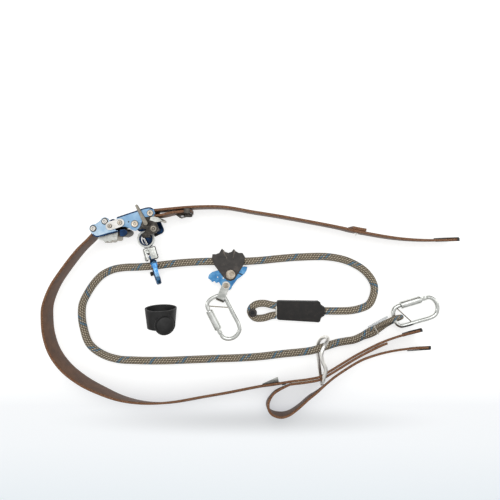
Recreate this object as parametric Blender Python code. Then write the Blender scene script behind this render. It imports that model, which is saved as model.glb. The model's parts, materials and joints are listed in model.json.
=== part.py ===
"""Pole climbing fall restrictor, laid flat: webbing on edge, channel adjuster, rope with grab, snap and carabiners.

Metres, +Z up. The floor is z = 0 and the middle of the object's box is x = y = 0.
All lengths below are in millimetres and go through MM.
"""
import math

import bmesh
import bpy
from mathutils import Matrix, Vector

for old in list(bpy.data.objects):
    bpy.data.objects.remove(old, do_unlink=True)

MM = 0.001

# Clearances
SEAT = 0.3  # between pieces that touch
RUN = 0.15  # round a turning pin, on the radius
STITCH_GAP = 0.8  # between two straps sewn face to face

# Webbing
STRAP_W = 48.0
STRAP_T = 5.0
STRAP_STEP = 22.0
TIP_T = 2.2

# Adjuster
PIN_HEAD_H = 1.6
LINK_T = 2.4
PLATE_T = 3.0
PIN_R = 3.0
PIN_HEAD_R = 5.6
PIVOT_HEAD_R = 7.2

# Rope
ROPE_D = 16.0
ROPE_STEP = 30.0
EYE_ROPE_D = 10.0

# Carabiners
BAR_D = 9.0
SLEEVE_R = 8.0

# Ring round straps and rope
RING_D = 8.0

# Heights, from the floor up
LINK_LOW = PIN_HEAD_H + SEAT
PLATE_LOW = LINK_LOW + LINK_T + SEAT
STRAP_LOW = PLATE_LOW + PLATE_T + SEAT
STRAP_HIGH = STRAP_LOW + STRAP_W
PLATE_HIGH = STRAP_HIGH + SEAT
LINK_HIGH = PLATE_HIGH + PLATE_T + SEAT


# Materials
def material(name, colour, rough, metal=0.0):
    m = bpy.data.materials.new(name)
    m.use_nodes = True
    shader = m.node_tree.nodes["Principled BSDF"]
    shader.inputs["Base Color"].default_value = (*colour, 1.0)
    shader.inputs["Roughness"].default_value = rough
    shader.inputs["Metallic"].default_value = metal
    return m


WEBBING = material("coated brown webbing", (0.22, 0.13, 0.085), 0.7)
TIP = material("black tip", (0.02, 0.02, 0.02), 0.5)
BLUE = material("blue anodised aluminium", (0.33, 0.56, 0.80), 0.35, 0.8)
HOOK_BLUE = material("deep blue anodised aluminium", (0.05, 0.22, 0.52), 0.35, 0.8)
STEEL = material("polished steel", (0.62, 0.62, 0.60), 0.25, 1.0)
DARK = material("dark steel", (0.10, 0.10, 0.10), 0.4, 0.9)
COPPER = material("copper rivet", (0.60, 0.40, 0.28), 0.35, 1.0)
ROPE = material("khaki rope", (0.25, 0.21, 0.15), 0.9)
BLACK = material("black plastic", (0.03, 0.03, 0.03), 0.5)
RUBBER = material("black rubber", (0.02, 0.02, 0.02), 0.6)
TEXTILE = material("black textile", (0.025, 0.025, 0.025), 0.9)


# Building blocks
def empty(name, at, turn=0.0, tilt=0.0):
    """A frame at a place in mm, turned about the vertical and then tipped about its own Y, in degrees."""
    e = bpy.data.objects.new(name, None)
    bpy.context.scene.collection.objects.link(e)
    e.matrix_world = (
        Matrix.Translation(Vector(at) * MM)
        @ Matrix.Rotation(math.radians(turn), 4, "Z")
        @ Matrix.Rotation(math.radians(tilt), 4, "Y")
    )
    return e


def finish(name, bm, mat, parent=None, smooth=35.0, cutter=False):
    mesh = bpy.data.meshes.new(name)
    bmesh.ops.recalc_face_normals(bm, faces=bm.faces)
    bm.to_mesh(mesh)
    bm.free()
    ob = bpy.data.objects.new(name, mesh)
    bpy.context.scene.collection.objects.link(ob)
    mesh.materials.append(mat)
    mesh.shade_smooth()
    mesh.set_sharp_from_angle(angle=math.radians(smooth))
    if parent:
        ob.parent = parent
    if cutter:
        ob.hide_render = True
        ob.display_type = "WIRE"
    return ob


def lift(bm, ring, by):
    """Raise an outline's face along a vector and close the solid."""
    face = bm.faces.new(ring)
    made = bmesh.ops.extrude_face_region(bm, geom=[face])
    top = [v for v in made["geom"] if isinstance(v, bmesh.types.BMVert)]
    bmesh.ops.translate(bm, verts=top, vec=by)


def prism(name, outline, low, high, mat, parent=None, cutter=False, plane="XY"):
    """An outline of (x, y) in mm, extruded from low to high; plane XZ puts the outline upright."""
    bm = bmesh.new()
    if plane == "XY":
        ring = [bm.verts.new((x * MM, y * MM, low * MM)) for x, y in outline]
        by = (0, 0, (high - low) * MM)
    else:
        ring = [bm.verts.new((x * MM, low * MM, y * MM)) for x, y in outline]
        by = (0, (high - low) * MM, 0)
    lift(bm, ring, by)
    return finish(name, bm, mat, parent, cutter=cutter)


def turned(name, profile, at, mat, parent=None, axis=(0, 0, 1), sides=20, cutter=False):
    """A closed profile of (radius, height) in mm that runs from the axis round to the axis, spun about it."""
    bm = bmesh.new()
    rows = []
    for r, h in profile:
        if r < 1e-6:
            rows.append([bm.verts.new((0, 0, h * MM))])
        else:
            rows.append(
                [
                    bm.verts.new(
                        (
                            r * MM * math.cos(2 * math.pi * k / sides),
                            r * MM * math.sin(2 * math.pi * k / sides),
                            h * MM,
                        )
                    )
                    for k in range(sides)
                ]
            )
    pairs = list(zip(rows, rows[1:]))
    if len(rows[0]) > 1:
        pairs.append((rows[-1], rows[0]))
    for a, b in pairs:
        for k in range(sides):
            n = (k + 1) % sides
            corner = [a[k % len(a)], a[n % len(a)], b[n % len(b)], b[k % len(b)]]
            face = []
            for v in corner:
                if v not in face:
                    face.append(v)
            bm.faces.new(face)
    toward = Vector(axis).normalized()
    spin = Vector((0, 0, 1)).rotation_difference(toward).to_matrix().to_4x4()
    bmesh.ops.transform(bm, matrix=Matrix.Translation(Vector(at) * MM) @ spin, verts=bm.verts)
    return finish(name, bm, mat, parent, cutter=cutter)


def box(name, x, y, z, mat, parent=None, cutter=False):
    """A block between two limits on each axis."""
    return prism(name, [(x[0], y[0]), (x[1], y[0]), (x[1], y[1]), (x[0], y[1])], z[0], z[1], mat, parent, cutter)


def rod(name, at, low, high, r, mat=DARK, parent=None, axis=(0, 0, 1), sides=20, cutter=False):
    return turned(name, [(0, low), (r, low), (r, high), (0, high)], at, mat, parent, axis, sides, cutter)


def rivet(name, xy, low, high, r, head_r, head_h, mat, parent=None, sides=20, hollow=0.0):
    """A pin with a head at each end; the shank runs from low to high and the heads lie beyond."""
    x, y = xy
    low_end, high_end = low - head_h, high + head_h
    profile = [
        (0, low_end), (head_r - 0.5, low_end), (head_r, low_end + 0.5), (head_r, low),
        (r, low), (r, high), (head_r, high), (head_r, high_end - 0.5), (head_r - 0.7, high_end),
    ]
    if hollow:
        profile += [(hollow, high_end), (hollow * 0.8, high_end - 1.2), (0, high_end - 1.2)]
    else:
        profile += [(0, high_end)]
    return turned(name, profile, (x, y, 0), mat, parent, sides=sides)


def cut(ob, *cutters, op="DIFFERENCE"):
    for c in cutters:
        m = ob.modifiers.new("cut" if op == "DIFFERENCE" else "join", "BOOLEAN")
        m.operation = op
        m.solver = "EXACT"
        m.object = c
        c.hide_render = True
        c.display_type = "WIRE"
    return ob


def join(ob, *others):
    return cut(ob, *others, op="UNION")


def bevel(ob, width, segments=2, angle=40.0):
    m = ob.modifiers.new("edges", "BEVEL")
    m.width = width * MM
    m.segments = segments
    m.limit_method = "ANGLE"
    m.angle_limit = math.radians(angle)
    return ob


def smooth_line(points, step, closed=False):
    """Points every step mm on a centripetal curve through the given ones; extra values are carried along."""
    pts = [Vector(p) for p in points]
    n = len(pts)
    dense = []
    spans = n if closed else n - 1
    for i in range(spans):
        p1, p2 = pts[i], pts[(i + 1) % n]
        p0 = pts[i - 1] if closed or i else p1 * 2 - p2
        p3 = pts[(i + 2) % n] if closed or i + 2 < n else p2 * 2 - p1
        t1 = max((p1.xyz - p0.xyz).length, 1e-6) ** 0.5
        t2 = t1 + max((p2.xyz - p1.xyz).length, 1e-6) ** 0.5
        t3 = t2 + max((p3.xyz - p2.xyz).length, 1e-6) ** 0.5
        for k in range(16):
            t = t1 + (t2 - t1) * k / 16
            a1 = p0 * ((t1 - t) / t1) + p1 * (t / t1)
            a2 = p1 * ((t2 - t) / (t2 - t1)) + p2 * ((t - t1) / (t2 - t1))
            a3 = p2 * ((t3 - t) / (t3 - t2)) + p3 * ((t - t2) / (t3 - t2))
            b1 = a1 * ((t2 - t) / t2) + a2 * (t / t2)
            b2 = a2 * ((t3 - t) / (t3 - t1)) + a3 * ((t - t1) / (t3 - t1))
            dense.append(b1 * ((t2 - t) / (t2 - t1)) + b2 * ((t - t1) / (t2 - t1)))
    dense.append(pts[0].copy() if closed else pts[-1].copy())
    along = [0.0]
    for a, b in zip(dense, dense[1:]):
        along.append(along[-1] + (b.xyz - a.xyz).length)
    count = max(2, round(along[-1] / step))
    out, k = [], 0
    for i in range(count + 1):
        s = along[-1] * i / count
        while k + 2 < len(along) and along[k + 1] < s:
            k += 1
        f = (s - along[k]) / max(along[k + 1] - along[k], 1e-9)
        out.append(dense[k].lerp(dense[k + 1], min(max(f, 0.0), 1.0)))
    return out[:-1] if closed else out


def wire(name, points, d, mat, parent=None, closed=False, res=2):
    """A round bar or rope along points in mm: a bevelled poly curve with filled ends."""
    curve = bpy.data.curves.new(name, "CURVE")
    curve.dimensions = "3D"
    curve.bevel_depth = d / 2 * MM
    curve.bevel_resolution = res
    curve.use_fill_caps = True
    curve.twist_mode = "MINIMUM"
    spline = curve.splines.new("POLY")
    spline.points.add(len(points) - 1)
    for point, p in zip(spline.points, points):
        point.co = (p[0] * MM, p[1] * MM, p[2] * MM, 1.0)
    spline.use_cyclic_u = closed
    spline.use_smooth = True
    curve.materials.append(mat)
    ob = bpy.data.objects.new(name, curve)
    bpy.context.scene.collection.objects.link(ob)
    if parent:
        ob.parent = parent
    return ob


def run(route, step):
    """Stations (x, y, lift, lean) every step mm along a strap's route."""
    return smooth_line([Vector(p) for p in route], step)


def lefts(line):
    """The left-hand direction at every station."""
    out = []
    for i in range(len(line)):
        a, b = line[max(i - 1, 0)], line[min(i + 1, len(line) - 1)]
        along = Vector((b.x - a.x, b.y - a.y)).normalized()
        out.append(Vector((-along.y, along.x)))
    return out


def beside(line, by):
    """The same stations, moved by mm to the left."""
    return [Vector((p.x + n.x * by, p.y + n.y * by, p.z, p.w)) for p, n in zip(line, lefts(line))]


def strap(name, line, mat=WEBBING, near=0.0, thick=(STRAP_T, STRAP_T), low=0.0, high=STRAP_W):
    """A strap on edge. The line is its face's top edge; the strap lies from near to near + thick mm on the
    line's left-hand side, and lean puts its bottom edge that far to the right-hand side."""
    bm = bmesh.new()
    rows = []
    sides = lefts(line)
    for i, (p, left) in enumerate(zip(line, sides)):
        t = thick[0] + (thick[1] - thick[0]) * i / (len(line) - 1)
        row = []
        for side, h in ((near, low), (near + t, low), (near + t, high), (near, high)):
            off = side - p.w * (1 - h / STRAP_W)
            row.append(bm.verts.new(((p.x + left.x * off) * MM, (p.y + left.y * off) * MM, (p.z + h) * MM)))
        rows.append(row)
    for a, b in zip(rows, rows[1:]):
        for k in range(4):
            n = (k + 1) % 4
            bm.faces.new((a[k], a[n], b[n], b[k]))
    bm.faces.new(rows[0])
    bm.faces.new(list(reversed(rows[-1])))
    return finish(name, bm, mat)


def within(line, low, high):
    """The stations whose x lies between low and high."""
    return [p for p in line if low <= p.x <= high]


def stadium(ax, ay, bx, by, ra, rb=None, steps=8):
    """An outline of two round ends joined by straight sides."""
    rb = ra if rb is None else rb
    turn = math.atan2(by - ay, bx - ax)
    pts = []
    for k in range(steps + 1):
        a = turn + math.pi / 2 + math.pi * k / steps
        pts.append((ax + ra * math.cos(a), ay + ra * math.sin(a)))
    for k in range(steps + 1):
        a = turn - math.pi / 2 + math.pi * k / steps
        pts.append((bx + rb * math.cos(a), by + rb * math.sin(a)))
    return pts


# Outer strap: from inside the front channel, round the left, along the bottom and up to the upper tail.
# Stations: x, y of the outer face's top edge, lift above the floor, lean of the bottom edge outwards.
OUTER_ROUTE = [
    (-226, 205, STRAP_LOW, 0), (-263, 193.4, STRAP_LOW, 0), (-293.2, 184.2, STRAP_LOW, 0),
    (-316.6, 169.6, STRAP_LOW, 0), (-334, 152, STRAP_LOW, 0), (-357, 130, 6, 0), (-390, 90, 2, 0),
    (-415, 53, 0, 0), (-430, 13, 0, 0), (-431.5, -12, 0, 0), (-428, -50, 0, 0), (-415, -88, 0, 0),
    (-390, -122, 0, 0), (-352, -151, 0, 1), (-312, -170, 0, 4), (-273, -183, 0, 9), (-233, -189, 0, 14),
    (-194, -189.5, 0, 17), (-155, -186, 0, 17), (-102, -176.5, 0, 17), (-50, -167.5, 0, 17),
    (20, -153.5, 1, 17), (51, -148.5, 3, 17), (86, -142, 6, 16.5), (118, -137, 9, 16.5), (143, -131.5, 9.5, 17),
    (166, -118.5, 9.5, 17), (218, -88.5, 6, 16.7), (260, -68.6, 2, 16), (281, -60.2, 0, 15.5), (315, -48.8, 0, 14.7),
    (355, -38.4, 0, 14),
]
outer_line = run(OUTER_ROUTE, STRAP_STEP)
strap("strap_outer", outer_line)

# Inner strap: stitched beside the upper tail, back through the ring, round the pull loop, out to the lower tail.
LOOP_ROUTE = [
    (68, -151, 3, -15), (46, -166.5, 0, -12), (35.4, -187, 0, -6), (37, -203, 0, 3), (45, -213, 0, 8),
    (63, -219, 0, 7.6), (80, -215, 0, 9.5), (100, -201, 0, 11), (121, -180, 4, 12), (138, -164.5, 7, 15),
    (152, -151, 8, 17), (174, -132.5, 8, 17.3), (222, -103, 5, 17), (244, -94.4, 2, 16), (284, -83.5, 0, 15),
    (326, -77, 0, 13.5), (372, -74, 0, 12.5),
]
FOLD_X, STITCH_END_X = 80.0, 283.0
first_pass = [
    Vector((p.x, p.y, p.z, -p.w))
    for p in reversed(within(beside(outer_line, -STITCH_GAP), FOLD_X, STITCH_END_X))
]
loop_line = run([tuple(first_pass[-1])] + LOOP_ROUTE, STRAP_STEP * 0.6)
inner_line = first_pass + loop_line[1:]
strap("strap_inner", inner_line)

# Top strap: from its free end to the front pin, round the pin and back as a short return layer.
P_REAR_A = (-318.5, 172.7)
P_REAR_B = (-295.0, 187.3)
P_LINK_A = (-284.0, 177.6)
P_LINK_B = (-263.5, 184.3)
P_MAIN = (-234.0, 182.0)
P_FRONT = (-202.7, 203.9)
P_LEVER = (-211.0, 183.0)
P_SHACKLE = (-195.0, 172.0)
WRAP_R = PIN_R + SEAT + STRAP_T
TOP_ROUTE = [
    (430.5, 153, 0, 0), (370, 151.5, 0, 0), (308, 155.6, 0, 0), (238.5, 167, 0, 0), (209.7, 172.5, 0, 0),
    (195, 176.5, 0, 0), (72, 200, 0, 0), (7.6, 210.5, 0, 0), (-51, 220.4, 0, 0), (-90, 221.4, 2, 0),
    (-124, 219.8, 5, 0), (-144, 218.1, 6.5, 0),
]
wrap = [
    Vector(
        (
            P_FRONT[0] + WRAP_R * math.cos(math.radians(96 + 15 * k)),
            P_FRONT[1] + WRAP_R * math.sin(math.radians(96 + 15 * k)),
            STRAP_LOW,
            0,
        )
    )
    for k in range(13)
]
RETURN_END = (-121.5, 207.3)
top_line = run(TOP_ROUTE + [tuple(wrap[0])], STRAP_STEP)
return_line = run(
    [tuple(wrap[-1]), (-180, 198.4, 8, 0), (-160, 203.2, 7, 0), (-140, 205.8, 6, 0), (*RETURN_END, 5.5, 0)], STRAP_STEP
)
strap("strap_top", top_line[:-1] + wrap + return_line[1:])

# Stiff black ends, one on each strap's tip
strap("tip_upper_tail", within(outer_line, 326, 400), TIP, near=STRAP_T + SEAT, thick=(TIP_T, TIP_T), low=1, high=STRAP_W - 1)
strap("tip_lower_tail", within(inner_line[len(first_pass):], 340, 400), TIP, near=-SEAT - TIP_T, thick=(TIP_T, TIP_T), low=1, high=STRAP_W - 1)
strap("tip_top_strap", within(top_line, 398, 440), TIP, near=-SEAT - TIP_T, thick=(TIP_T, TIP_T), low=1, high=STRAP_W - 1)

# Stop block stitched on the top strap's outer face, with its small spike coming through the inner one
STOP_T = 6.0
block_line = [p for p in within(top_line, 208, 240)]
strap("stop_block", block_line, near=-SEAT - STOP_T, thick=(STOP_T, STOP_T), low=1, high=STRAP_W - 1)
turned(
    "stop_spike", [(0, 0), (4.2, 0), (4.2, 1.6), (1.6, 2.2), (0.4, 6), (0, 6)],
    (222, 170.1 - 1.02 * STRAP_T - 2 * SEAT, 34), STEEL, axis=(-0.19, -1, 0), sides=12,
)

# Wedge spike on the inner face of the bottom run
strap(
    "wedge_spike", run([(26, -152.4, 1.2, 17), (44, -149.4, 2.5, 17), (60, -146.7, 3.5, 16.8)], 9),
    STEEL, near=STRAP_T + STITCH_GAP, thick=(1.2, 11.0), low=8, high=40,
)


# Keeper on the return layer: a frame round it, a pierced pointed tongue on its face, a knob
KEEPER_X = (-135.0, -122.5)
KEEPER_WALL = 1.8
KEEPER_Y = (205.9 - 2 * SEAT, 206.4 + STRAP_T + 2 * SEAT)
KEEPER_Z = (5.5 - 3 * SEAT, 5.9 + STRAP_W + 3 * SEAT)
keeper = box(
    "keeper_frame", KEEPER_X, (KEEPER_Y[0] - KEEPER_WALL, KEEPER_Y[1] + KEEPER_WALL),
    (KEEPER_Z[0] - KEEPER_WALL, KEEPER_Z[1] + KEEPER_WALL), DARK,
)
PRONG_Y = KEEPER_Y[0] - KEEPER_WALL
cut(keeper, prism(
    "keeper_room", [
        (KEEPER_X[0] - 1, KEEPER_Y[0]), (KEEPER_X[1] + 1, KEEPER_Y[0] + 0.6),
        (KEEPER_X[1] + 1, KEEPER_Y[1] + 0.6), (KEEPER_X[0] - 1, KEEPER_Y[1]),
    ], *KEEPER_Z, DARK, cutter=True,
))
join(keeper, prism(
    "keeper_tongue", [
        (KEEPER_X[0] + 1, PRONG_Y + 1.4), (KEEPER_X[0] + 1, PRONG_Y - 4), (-147, PRONG_Y - 7.6), (-156.5, PRONG_Y - 0.6),
        (-150, PRONG_Y - 0.4), (-141, PRONG_Y + 1.0),
    ], 10, 32.2, DARK, cutter=True,
))
cut(keeper, box("keeper_slot", (-148.0, -138.5), (PRONG_Y - 4.6, PRONG_Y - 1.6), (5, 37), DARK, cutter=True))
turned(
    "keeper_knob", [(0, 0), (8, 0), (9.2, 1.4), (9.2, 5), (8, 6.2), (0, 6.2)],
    (-128.5, PRONG_Y - SEAT, KEEPER_Z[1] - 13), DARK, axis=(0, -1, 0), sides=20,
)

# Bent ring that stands round the outer strap, the inner strap's first pass and the rope
RING_ROUTE = [
    (148, -106, 3.7), (151, -132, 3.7), (153.5, -150, 3.9), (154.6, -156.4, 8), (153.6, -155.2, 16),
    (150.2, -150.3, 33), (147, -144.2, 52), (147.5, -139, 60.5), (149.6, -129, 62.3), (153.5, -112, 62.3),
    (147.4, -98, 62.3), (144.5, -83, 62.3), (151.6, -66, 58), (160.5, -56.5, 46), (162, -54, 33),
    (157, -57, 17), (149.5, -65.5, 7), (145.5, -82, 3.7),
]
wire("strap_ring", smooth_line(RING_ROUTE, 8, closed=True), RING_D, STEEL, closed=True)

# Adjuster frames. Both are channels: two flat cheeks, above and below the strap, and an upright web.
CHEEKS = ((PLATE_LOW, PLATE_LOW + PLATE_T), (PLATE_HIGH, PLATE_HIGH + PLATE_T))
FRAME_TOP = PLATE_HIGH + PLATE_T


def frame(name, low_cheek, high_cheek, web, pins):
    ob = prism(name, low_cheek, *CHEEKS[0], BLUE)
    others = [
        prism(name + "_cheek", high_cheek, *CHEEKS[1], BLUE, cutter=True),
        prism(name + "_web", web, PLATE_LOW + 0.5, FRAME_TOP - 0.5, BLUE, cutter=True),
    ]
    join(ob, *others)
    for i, (x, y) in enumerate(pins):
        cut(ob, rod(f"{name}_hole_{i}", (x, y, 0), PLATE_LOW - 1, FRAME_TOP + 1, PIN_R + RUN, sides=16, cutter=True))
    return ob


REAR_CHEEK = [
    (-326.5, 171), (-325.5, 177), (-321, 180.5), (-314, 181.5), (-305, 188), (-301, 193.5), (-295, 195.8),
    (-289, 193.5), (-285, 188), (-278.5, 184), (-275, 178), (-274, 171), (-268.5, 166.5), (-313, 155.5),
    (-321, 162),
]
frame(
    "rear_channel", REAR_CHEEK, REAR_CHEEK,
    [(-313, 155.5), (-268.5, 166.5), (-269.2, 169.4), (-313.7, 158.4)],
    [P_REAR_A, P_REAR_B, P_LINK_A],
)
WEB_A, WEB_B = Vector((-264, 196.5)), Vector((-212.5, 212.8))
WEB_N = Vector((WEB_B.y - WEB_A.y, WEB_A.x - WEB_B.x)).normalized()
WEB_T = 3.0
frame(
    "front_channel",
    [
        (-271, 195), (-264, 197.5), (-212, 214.5), (-203, 215.5), (-196, 212.5), (-193, 204), (-195, 195.5),
        (-190.5, 185), (-187, 177), (-186, 171), (-189, 165), (-195, 163), (-201, 165), (-208, 170),
        (-220, 171), (-228, 168.4), (-238, 168.4), (-245, 173), (-253, 176.5), (-263, 176), (-269, 179),
        (-271.5, 186),
    ],
    [
        (-271, 195), (-264, 197.5), (-212, 214.5), (-203, 215.5), (-196, 212.5), (-193, 204), (-196, 198.2),
        (-204, 197), (-213, 195.6), (-218.6, 194.4), (-219.6, 186), (-223.5, 176), (-229, 169.6),
        (-233.5, 168), (-239, 169.2), (-245, 173), (-253, 176.5), (-263, 176), (-269, 179), (-271.5, 186),
    ],
    [
        tuple(WEB_A), tuple(WEB_B), tuple(WEB_B + WEB_N * WEB_T), tuple(WEB_A + WEB_N * WEB_T),
    ],
    [P_LINK_B, P_MAIN, P_FRONT, P_LEVER, P_SHACKLE],
)

# Dark side plate that fills the upper cheek's open corner and carries the lever's and the shackle's pins
pivot_plate = prism(
    "pivot_plate",
    [
        (-219.1, 185.9), (-218.1, 193.8), (-213, 195), (-204, 196.4), (-196.4, 197.4), (-195, 195.5),
        (-190.5, 185), (-187, 177), (-186, 171), (-189, 165), (-195, 163), (-201, 165), (-208, 170),
        (-217, 171.5), (-221.8, 177.6),
    ],
    *CHEEKS[1], DARK,
)
for i, (x, y) in enumerate((P_LEVER, P_SHACKLE)):
    cut(pivot_plate, rod(f"pivot_hole_{i}", (x, y, 0), 50, FRAME_TOP + 1, PIN_R + RUN, sides=16, cutter=True))

# Link plates over and under the cheeks
LINK_R = 8.5
LEVELS = {"link_plate_lower": LINK_LOW, "link_plate_upper": LINK_HIGH}
for name, level in LEVELS.items():
    link = prism(name, stadium(*P_LINK_A, *P_LINK_B, LINK_R), level, level + LINK_T, STEEL)
    for i, (x, y) in enumerate((P_LINK_A, P_LINK_B)):
        cut(link, rod(f"{name}_hole_{i}", (x, y, 0), level - 1, level + LINK_T + 1, PIN_R + RUN, sides=16, cutter=True))

# Pins. Those through the links end outside them, the others on the cheeks.
CHEEK_SPAN = (PLATE_LOW - SEAT, FRAME_TOP + SEAT)
LINK_SPAN = (PIN_HEAD_H, LINK_HIGH + LINK_T + SEAT)
for name, at, span, head, hollow in (
    ("rear_pin_a", P_REAR_A, CHEEK_SPAN, PIN_HEAD_R, 2.2),
    ("rear_pin_b", P_REAR_B, CHEEK_SPAN, PIN_HEAD_R, 2.2),
    ("link_pin_rear", P_LINK_A, LINK_SPAN, 4.4, 1.8),
    ("link_pin_front", P_LINK_B, LINK_SPAN, 5.0, 1.8),
    ("main_pivot_pin", P_MAIN, CHEEK_SPAN, PIVOT_HEAD_R, 2.6),
    ("front_strap_pin", P_FRONT, CHEEK_SPAN, 6.8, 2.4),
):
    rivet(name, at, *span, PIN_R, head, PIN_HEAD_H, STEEL, sides=16, hollow=hollow)

# Release lever: one bar on its own pin, which turns in the cheeks
LEVER_TIP = (-229.5, 218.5)
lever_low = FRAME_TOP + SEAT
lever_axis = empty("lever_axis", (*P_LEVER, 0))


def about(at, points):
    """Points seen from a joint's axis."""
    return [(x - at[0], y - at[1]) for x, y in points]


lever = prism(
    "release_lever", about(P_LEVER, stadium(*P_LEVER, *LEVER_TIP, 4.6, 2.6)), lever_low, lever_low + 4.0, STEEL, lever_axis
)
join(
    lever,
    rod("lever_shank", (0, 0, 0), PLATE_LOW - SEAT - PIN_HEAD_H, lever_low + 1, PIN_R, STEEL, lever_axis, sides=16, cutter=True),
    rod("lever_foot", (0, 0, 0), PLATE_LOW - SEAT - PIN_HEAD_H, PLATE_LOW - SEAT, 5.0, STEEL, lever_axis, sides=16, cutter=True),
)

# Strap cam on the main pivot, between the cheeks; its nose stands close to the outer strap's inner face
CAM_NOSE_A = 107.0
CAM_NOSE_R, CAM_BACK_R = 13.9, 9.0
cam_axis = empty("cam_axis", (*P_MAIN, 0))
cam_outline = []
for k in range(28):
    a = CAM_NOSE_A + 360 * k / 28
    fall = min(k / 5, 1.0) if k <= 14 else min((28 - k) / 9, 1.0)
    r = CAM_NOSE_R - (CAM_NOSE_R - CAM_BACK_R) * fall
    if k > 22 or k == 0:
        r -= 0.5 * (k % 2)
    cam_outline.append((r * math.cos(math.radians(a)), r * math.sin(math.radians(a))))
strap_cam = prism("strap_cam", cam_outline, STRAP_LOW, STRAP_HIGH - 6, DARK, cam_axis)
cut(strap_cam, rod("cam_bore", (0, 0, 0), 0, FRAME_TOP, PIN_R + RUN, DARK, cam_axis, sides=16, cutter=True))
# Return spring of the cam, coiled round the main pivot above the cam
SPRING_WIRE, SPRING_R, SPRING_TURNS = 1.0, 4.4, 3
spring = [
    (
        P_MAIN[0] + SPRING_R * math.cos(2 * math.pi * k / 10),
        P_MAIN[1] + SPRING_R * math.sin(2 * math.pi * k / 10),
        STRAP_HIGH - 6 + SEAT + SPRING_WIRE / 2 + k / (10 * SPRING_TURNS) * (6 - 3 * SEAT - SPRING_WIRE),
    )
    for k in range(10 * SPRING_TURNS + 1)
]
wire("cam_spring", spring, SPRING_WIRE, STEEL, res=1)

# Toothed plate on the rear web's pole side, guide block beside it, toothed flange at the front end
POLE_TEETH = [(-313, 152.5), (-308, 149.5), (-302, 148.5), (-297, 143.5), (-293, 147.5), (-288, 144.5), (-282, 149), (-276, 147.5)]
SEAT_N = Vector((-268.5 + 313, 166.5 - 155.5)).normalized()
down = Vector((SEAT_N.y, -SEAT_N.x)) * SEAT
prism(
    "pole_plate",
    [(-311 + down.x, 156 + down.y), *POLE_TEETH, (-272.3, 150), (-270.9 + down.x, 165.9 + down.y)],
    10, 50, STEEL,
)
prism(
    "lower_guide",
    [(-267.6, 156.5), (-261, 155.5), (-253.5, 158.5), (-249.8, 163), (-250, 168), (-257, 173), (-267.8, 171)],
    STRAP_LOW, 52, HOOK_BLUE,
)
end_flange = prism(
    "end_flange",
    [(-202, 194.6), (-190, 196.2), (-183, 193.5), (-178.5, 188.5), (-183, 186.5), (-190, 189.5), (-200, 188.5)],
    STRAP_LOW, STRAP_HIGH, STEEL,
)
FLANGE_LIP = (FRAME_TOP + SEAT, FRAME_TOP + SEAT + 1.8)
join(
    end_flange,
    prism(
        "flange_rise", [(-187.5, 193.2), (-183, 193), (-179, 188.8), (-183, 187), (-187.5, 189.2)],
        STRAP_HIGH - 2, FLANGE_LIP[1] - 0.4, STEEL, cutter=True,
    ),
    prism(
        "flange_lip", [
            (-203, 189.4), (-201.2, 195.9), (-195, 197), (-184.5, 193.6), (-178.8, 188.6), (-183.5, 186.4), (-191, 185.8),
        ], *FLANGE_LIP, STEEL, cutter=True,
    ),
)

# Shackle on its pin, at the front frame's lower corner; its upright leg holds the swivel's eye
SHACKLE_LEG = (-214.6, 158.3)
SHACKLE_T = 3.4
shackle_axis = empty("shackle_axis", (*P_SHACKLE, 0))
arm = about(P_SHACKLE, stadium(*P_SHACKLE, *SHACKLE_LEG, 9.0, 5.0))
arm_low = (PLATE_LOW - SEAT - LINK_T, PLATE_LOW - SEAT)
arm_high = (FRAME_TOP + SEAT, FRAME_TOP + SEAT + SHACKLE_T)
shackle = prism("shackle", arm, *arm_low, DARK, shackle_axis)
leg_at = (*about(P_SHACKLE, [SHACKLE_LEG])[0], 0)
join(
    shackle,
    prism("shackle_arm", arm, *arm_high, DARK, shackle_axis, cutter=True),
    rod("shackle_leg", leg_at, arm_low[0] + 0.5, arm_high[1] - 0.5, 4.0, DARK, shackle_axis, sides=16, cutter=True),
)
cut(shackle, rod("shackle_bore", (0, 0, 0), 0, arm_high[1] + 1, PIN_R + RUN, DARK, shackle_axis, sides=16, cutter=True))
rivet("shackle_pin", P_SHACKLE, arm_low[0] - SEAT, arm_high[1] + SEAT, PIN_R, 8.6, arm_low[0] - SEAT - 0.1, DARK, sides=16)

# Swivel snap. Its frame lies at the eye's centre with X down the snap; the yoke and hook are rolled about X.
SNAP_AT = (-219.7, 151.9, 22.0)
SNAP_TURN = -73.9
SNAP_ROLL = -16.0
EYE_IN, EYE_OUT, EYE_H = 13.3, 18.6, 9.0
STEM_R, STEM_HEAD_R = 4.0, 6.5
snap = empty("snap_axis", SNAP_AT, SNAP_TURN)
rolled = empty("snap_roll", SNAP_AT, SNAP_TURN)
rolled.matrix_world = rolled.matrix_world @ Matrix.Rotation(math.radians(SNAP_ROLL), 4, "X")
bpy.context.view_layer.update()
YOKE_X = (EYE_OUT + 0.6, 46.0)
YOKE_WALL = 11.0
CHEEK_Y = (8.4, 13.0)
HOOK_ROOT_H = 9.5
PLATE_Z = HOOK_ROOT_H + 2 * SEAT
YOKE_H = PLATE_Z + 2.8
eye = turned(
    "swivel_eye",
    [(EYE_IN, -2.5), (EYE_IN + 1.2, -EYE_H / 2), (EYE_OUT - 1.2, -EYE_H / 2), (EYE_OUT, -2.5), (EYE_OUT, 2.5),
     (EYE_OUT - 1.2, EYE_H / 2), (EYE_IN + 1.2, EYE_H / 2), (EYE_IN, 2.5)],
    (0, 0, 0), STEEL, snap, sides=28,
)
join(
    eye,
    rod("swivel_stem", (0, 0, 0), EYE_OUT - 2.2, YOKE_X[0] + YOKE_WALL + 2, STEM_R, STEEL, snap, (1, 0, 0), 16, True),
    rod("swivel_head", (0, 0, 0), YOKE_X[0] + YOKE_WALL + SEAT, YOKE_X[0] + YOKE_WALL + 3.6, STEM_HEAD_R, STEEL, snap, (1, 0, 0), 16, True),
)
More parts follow.
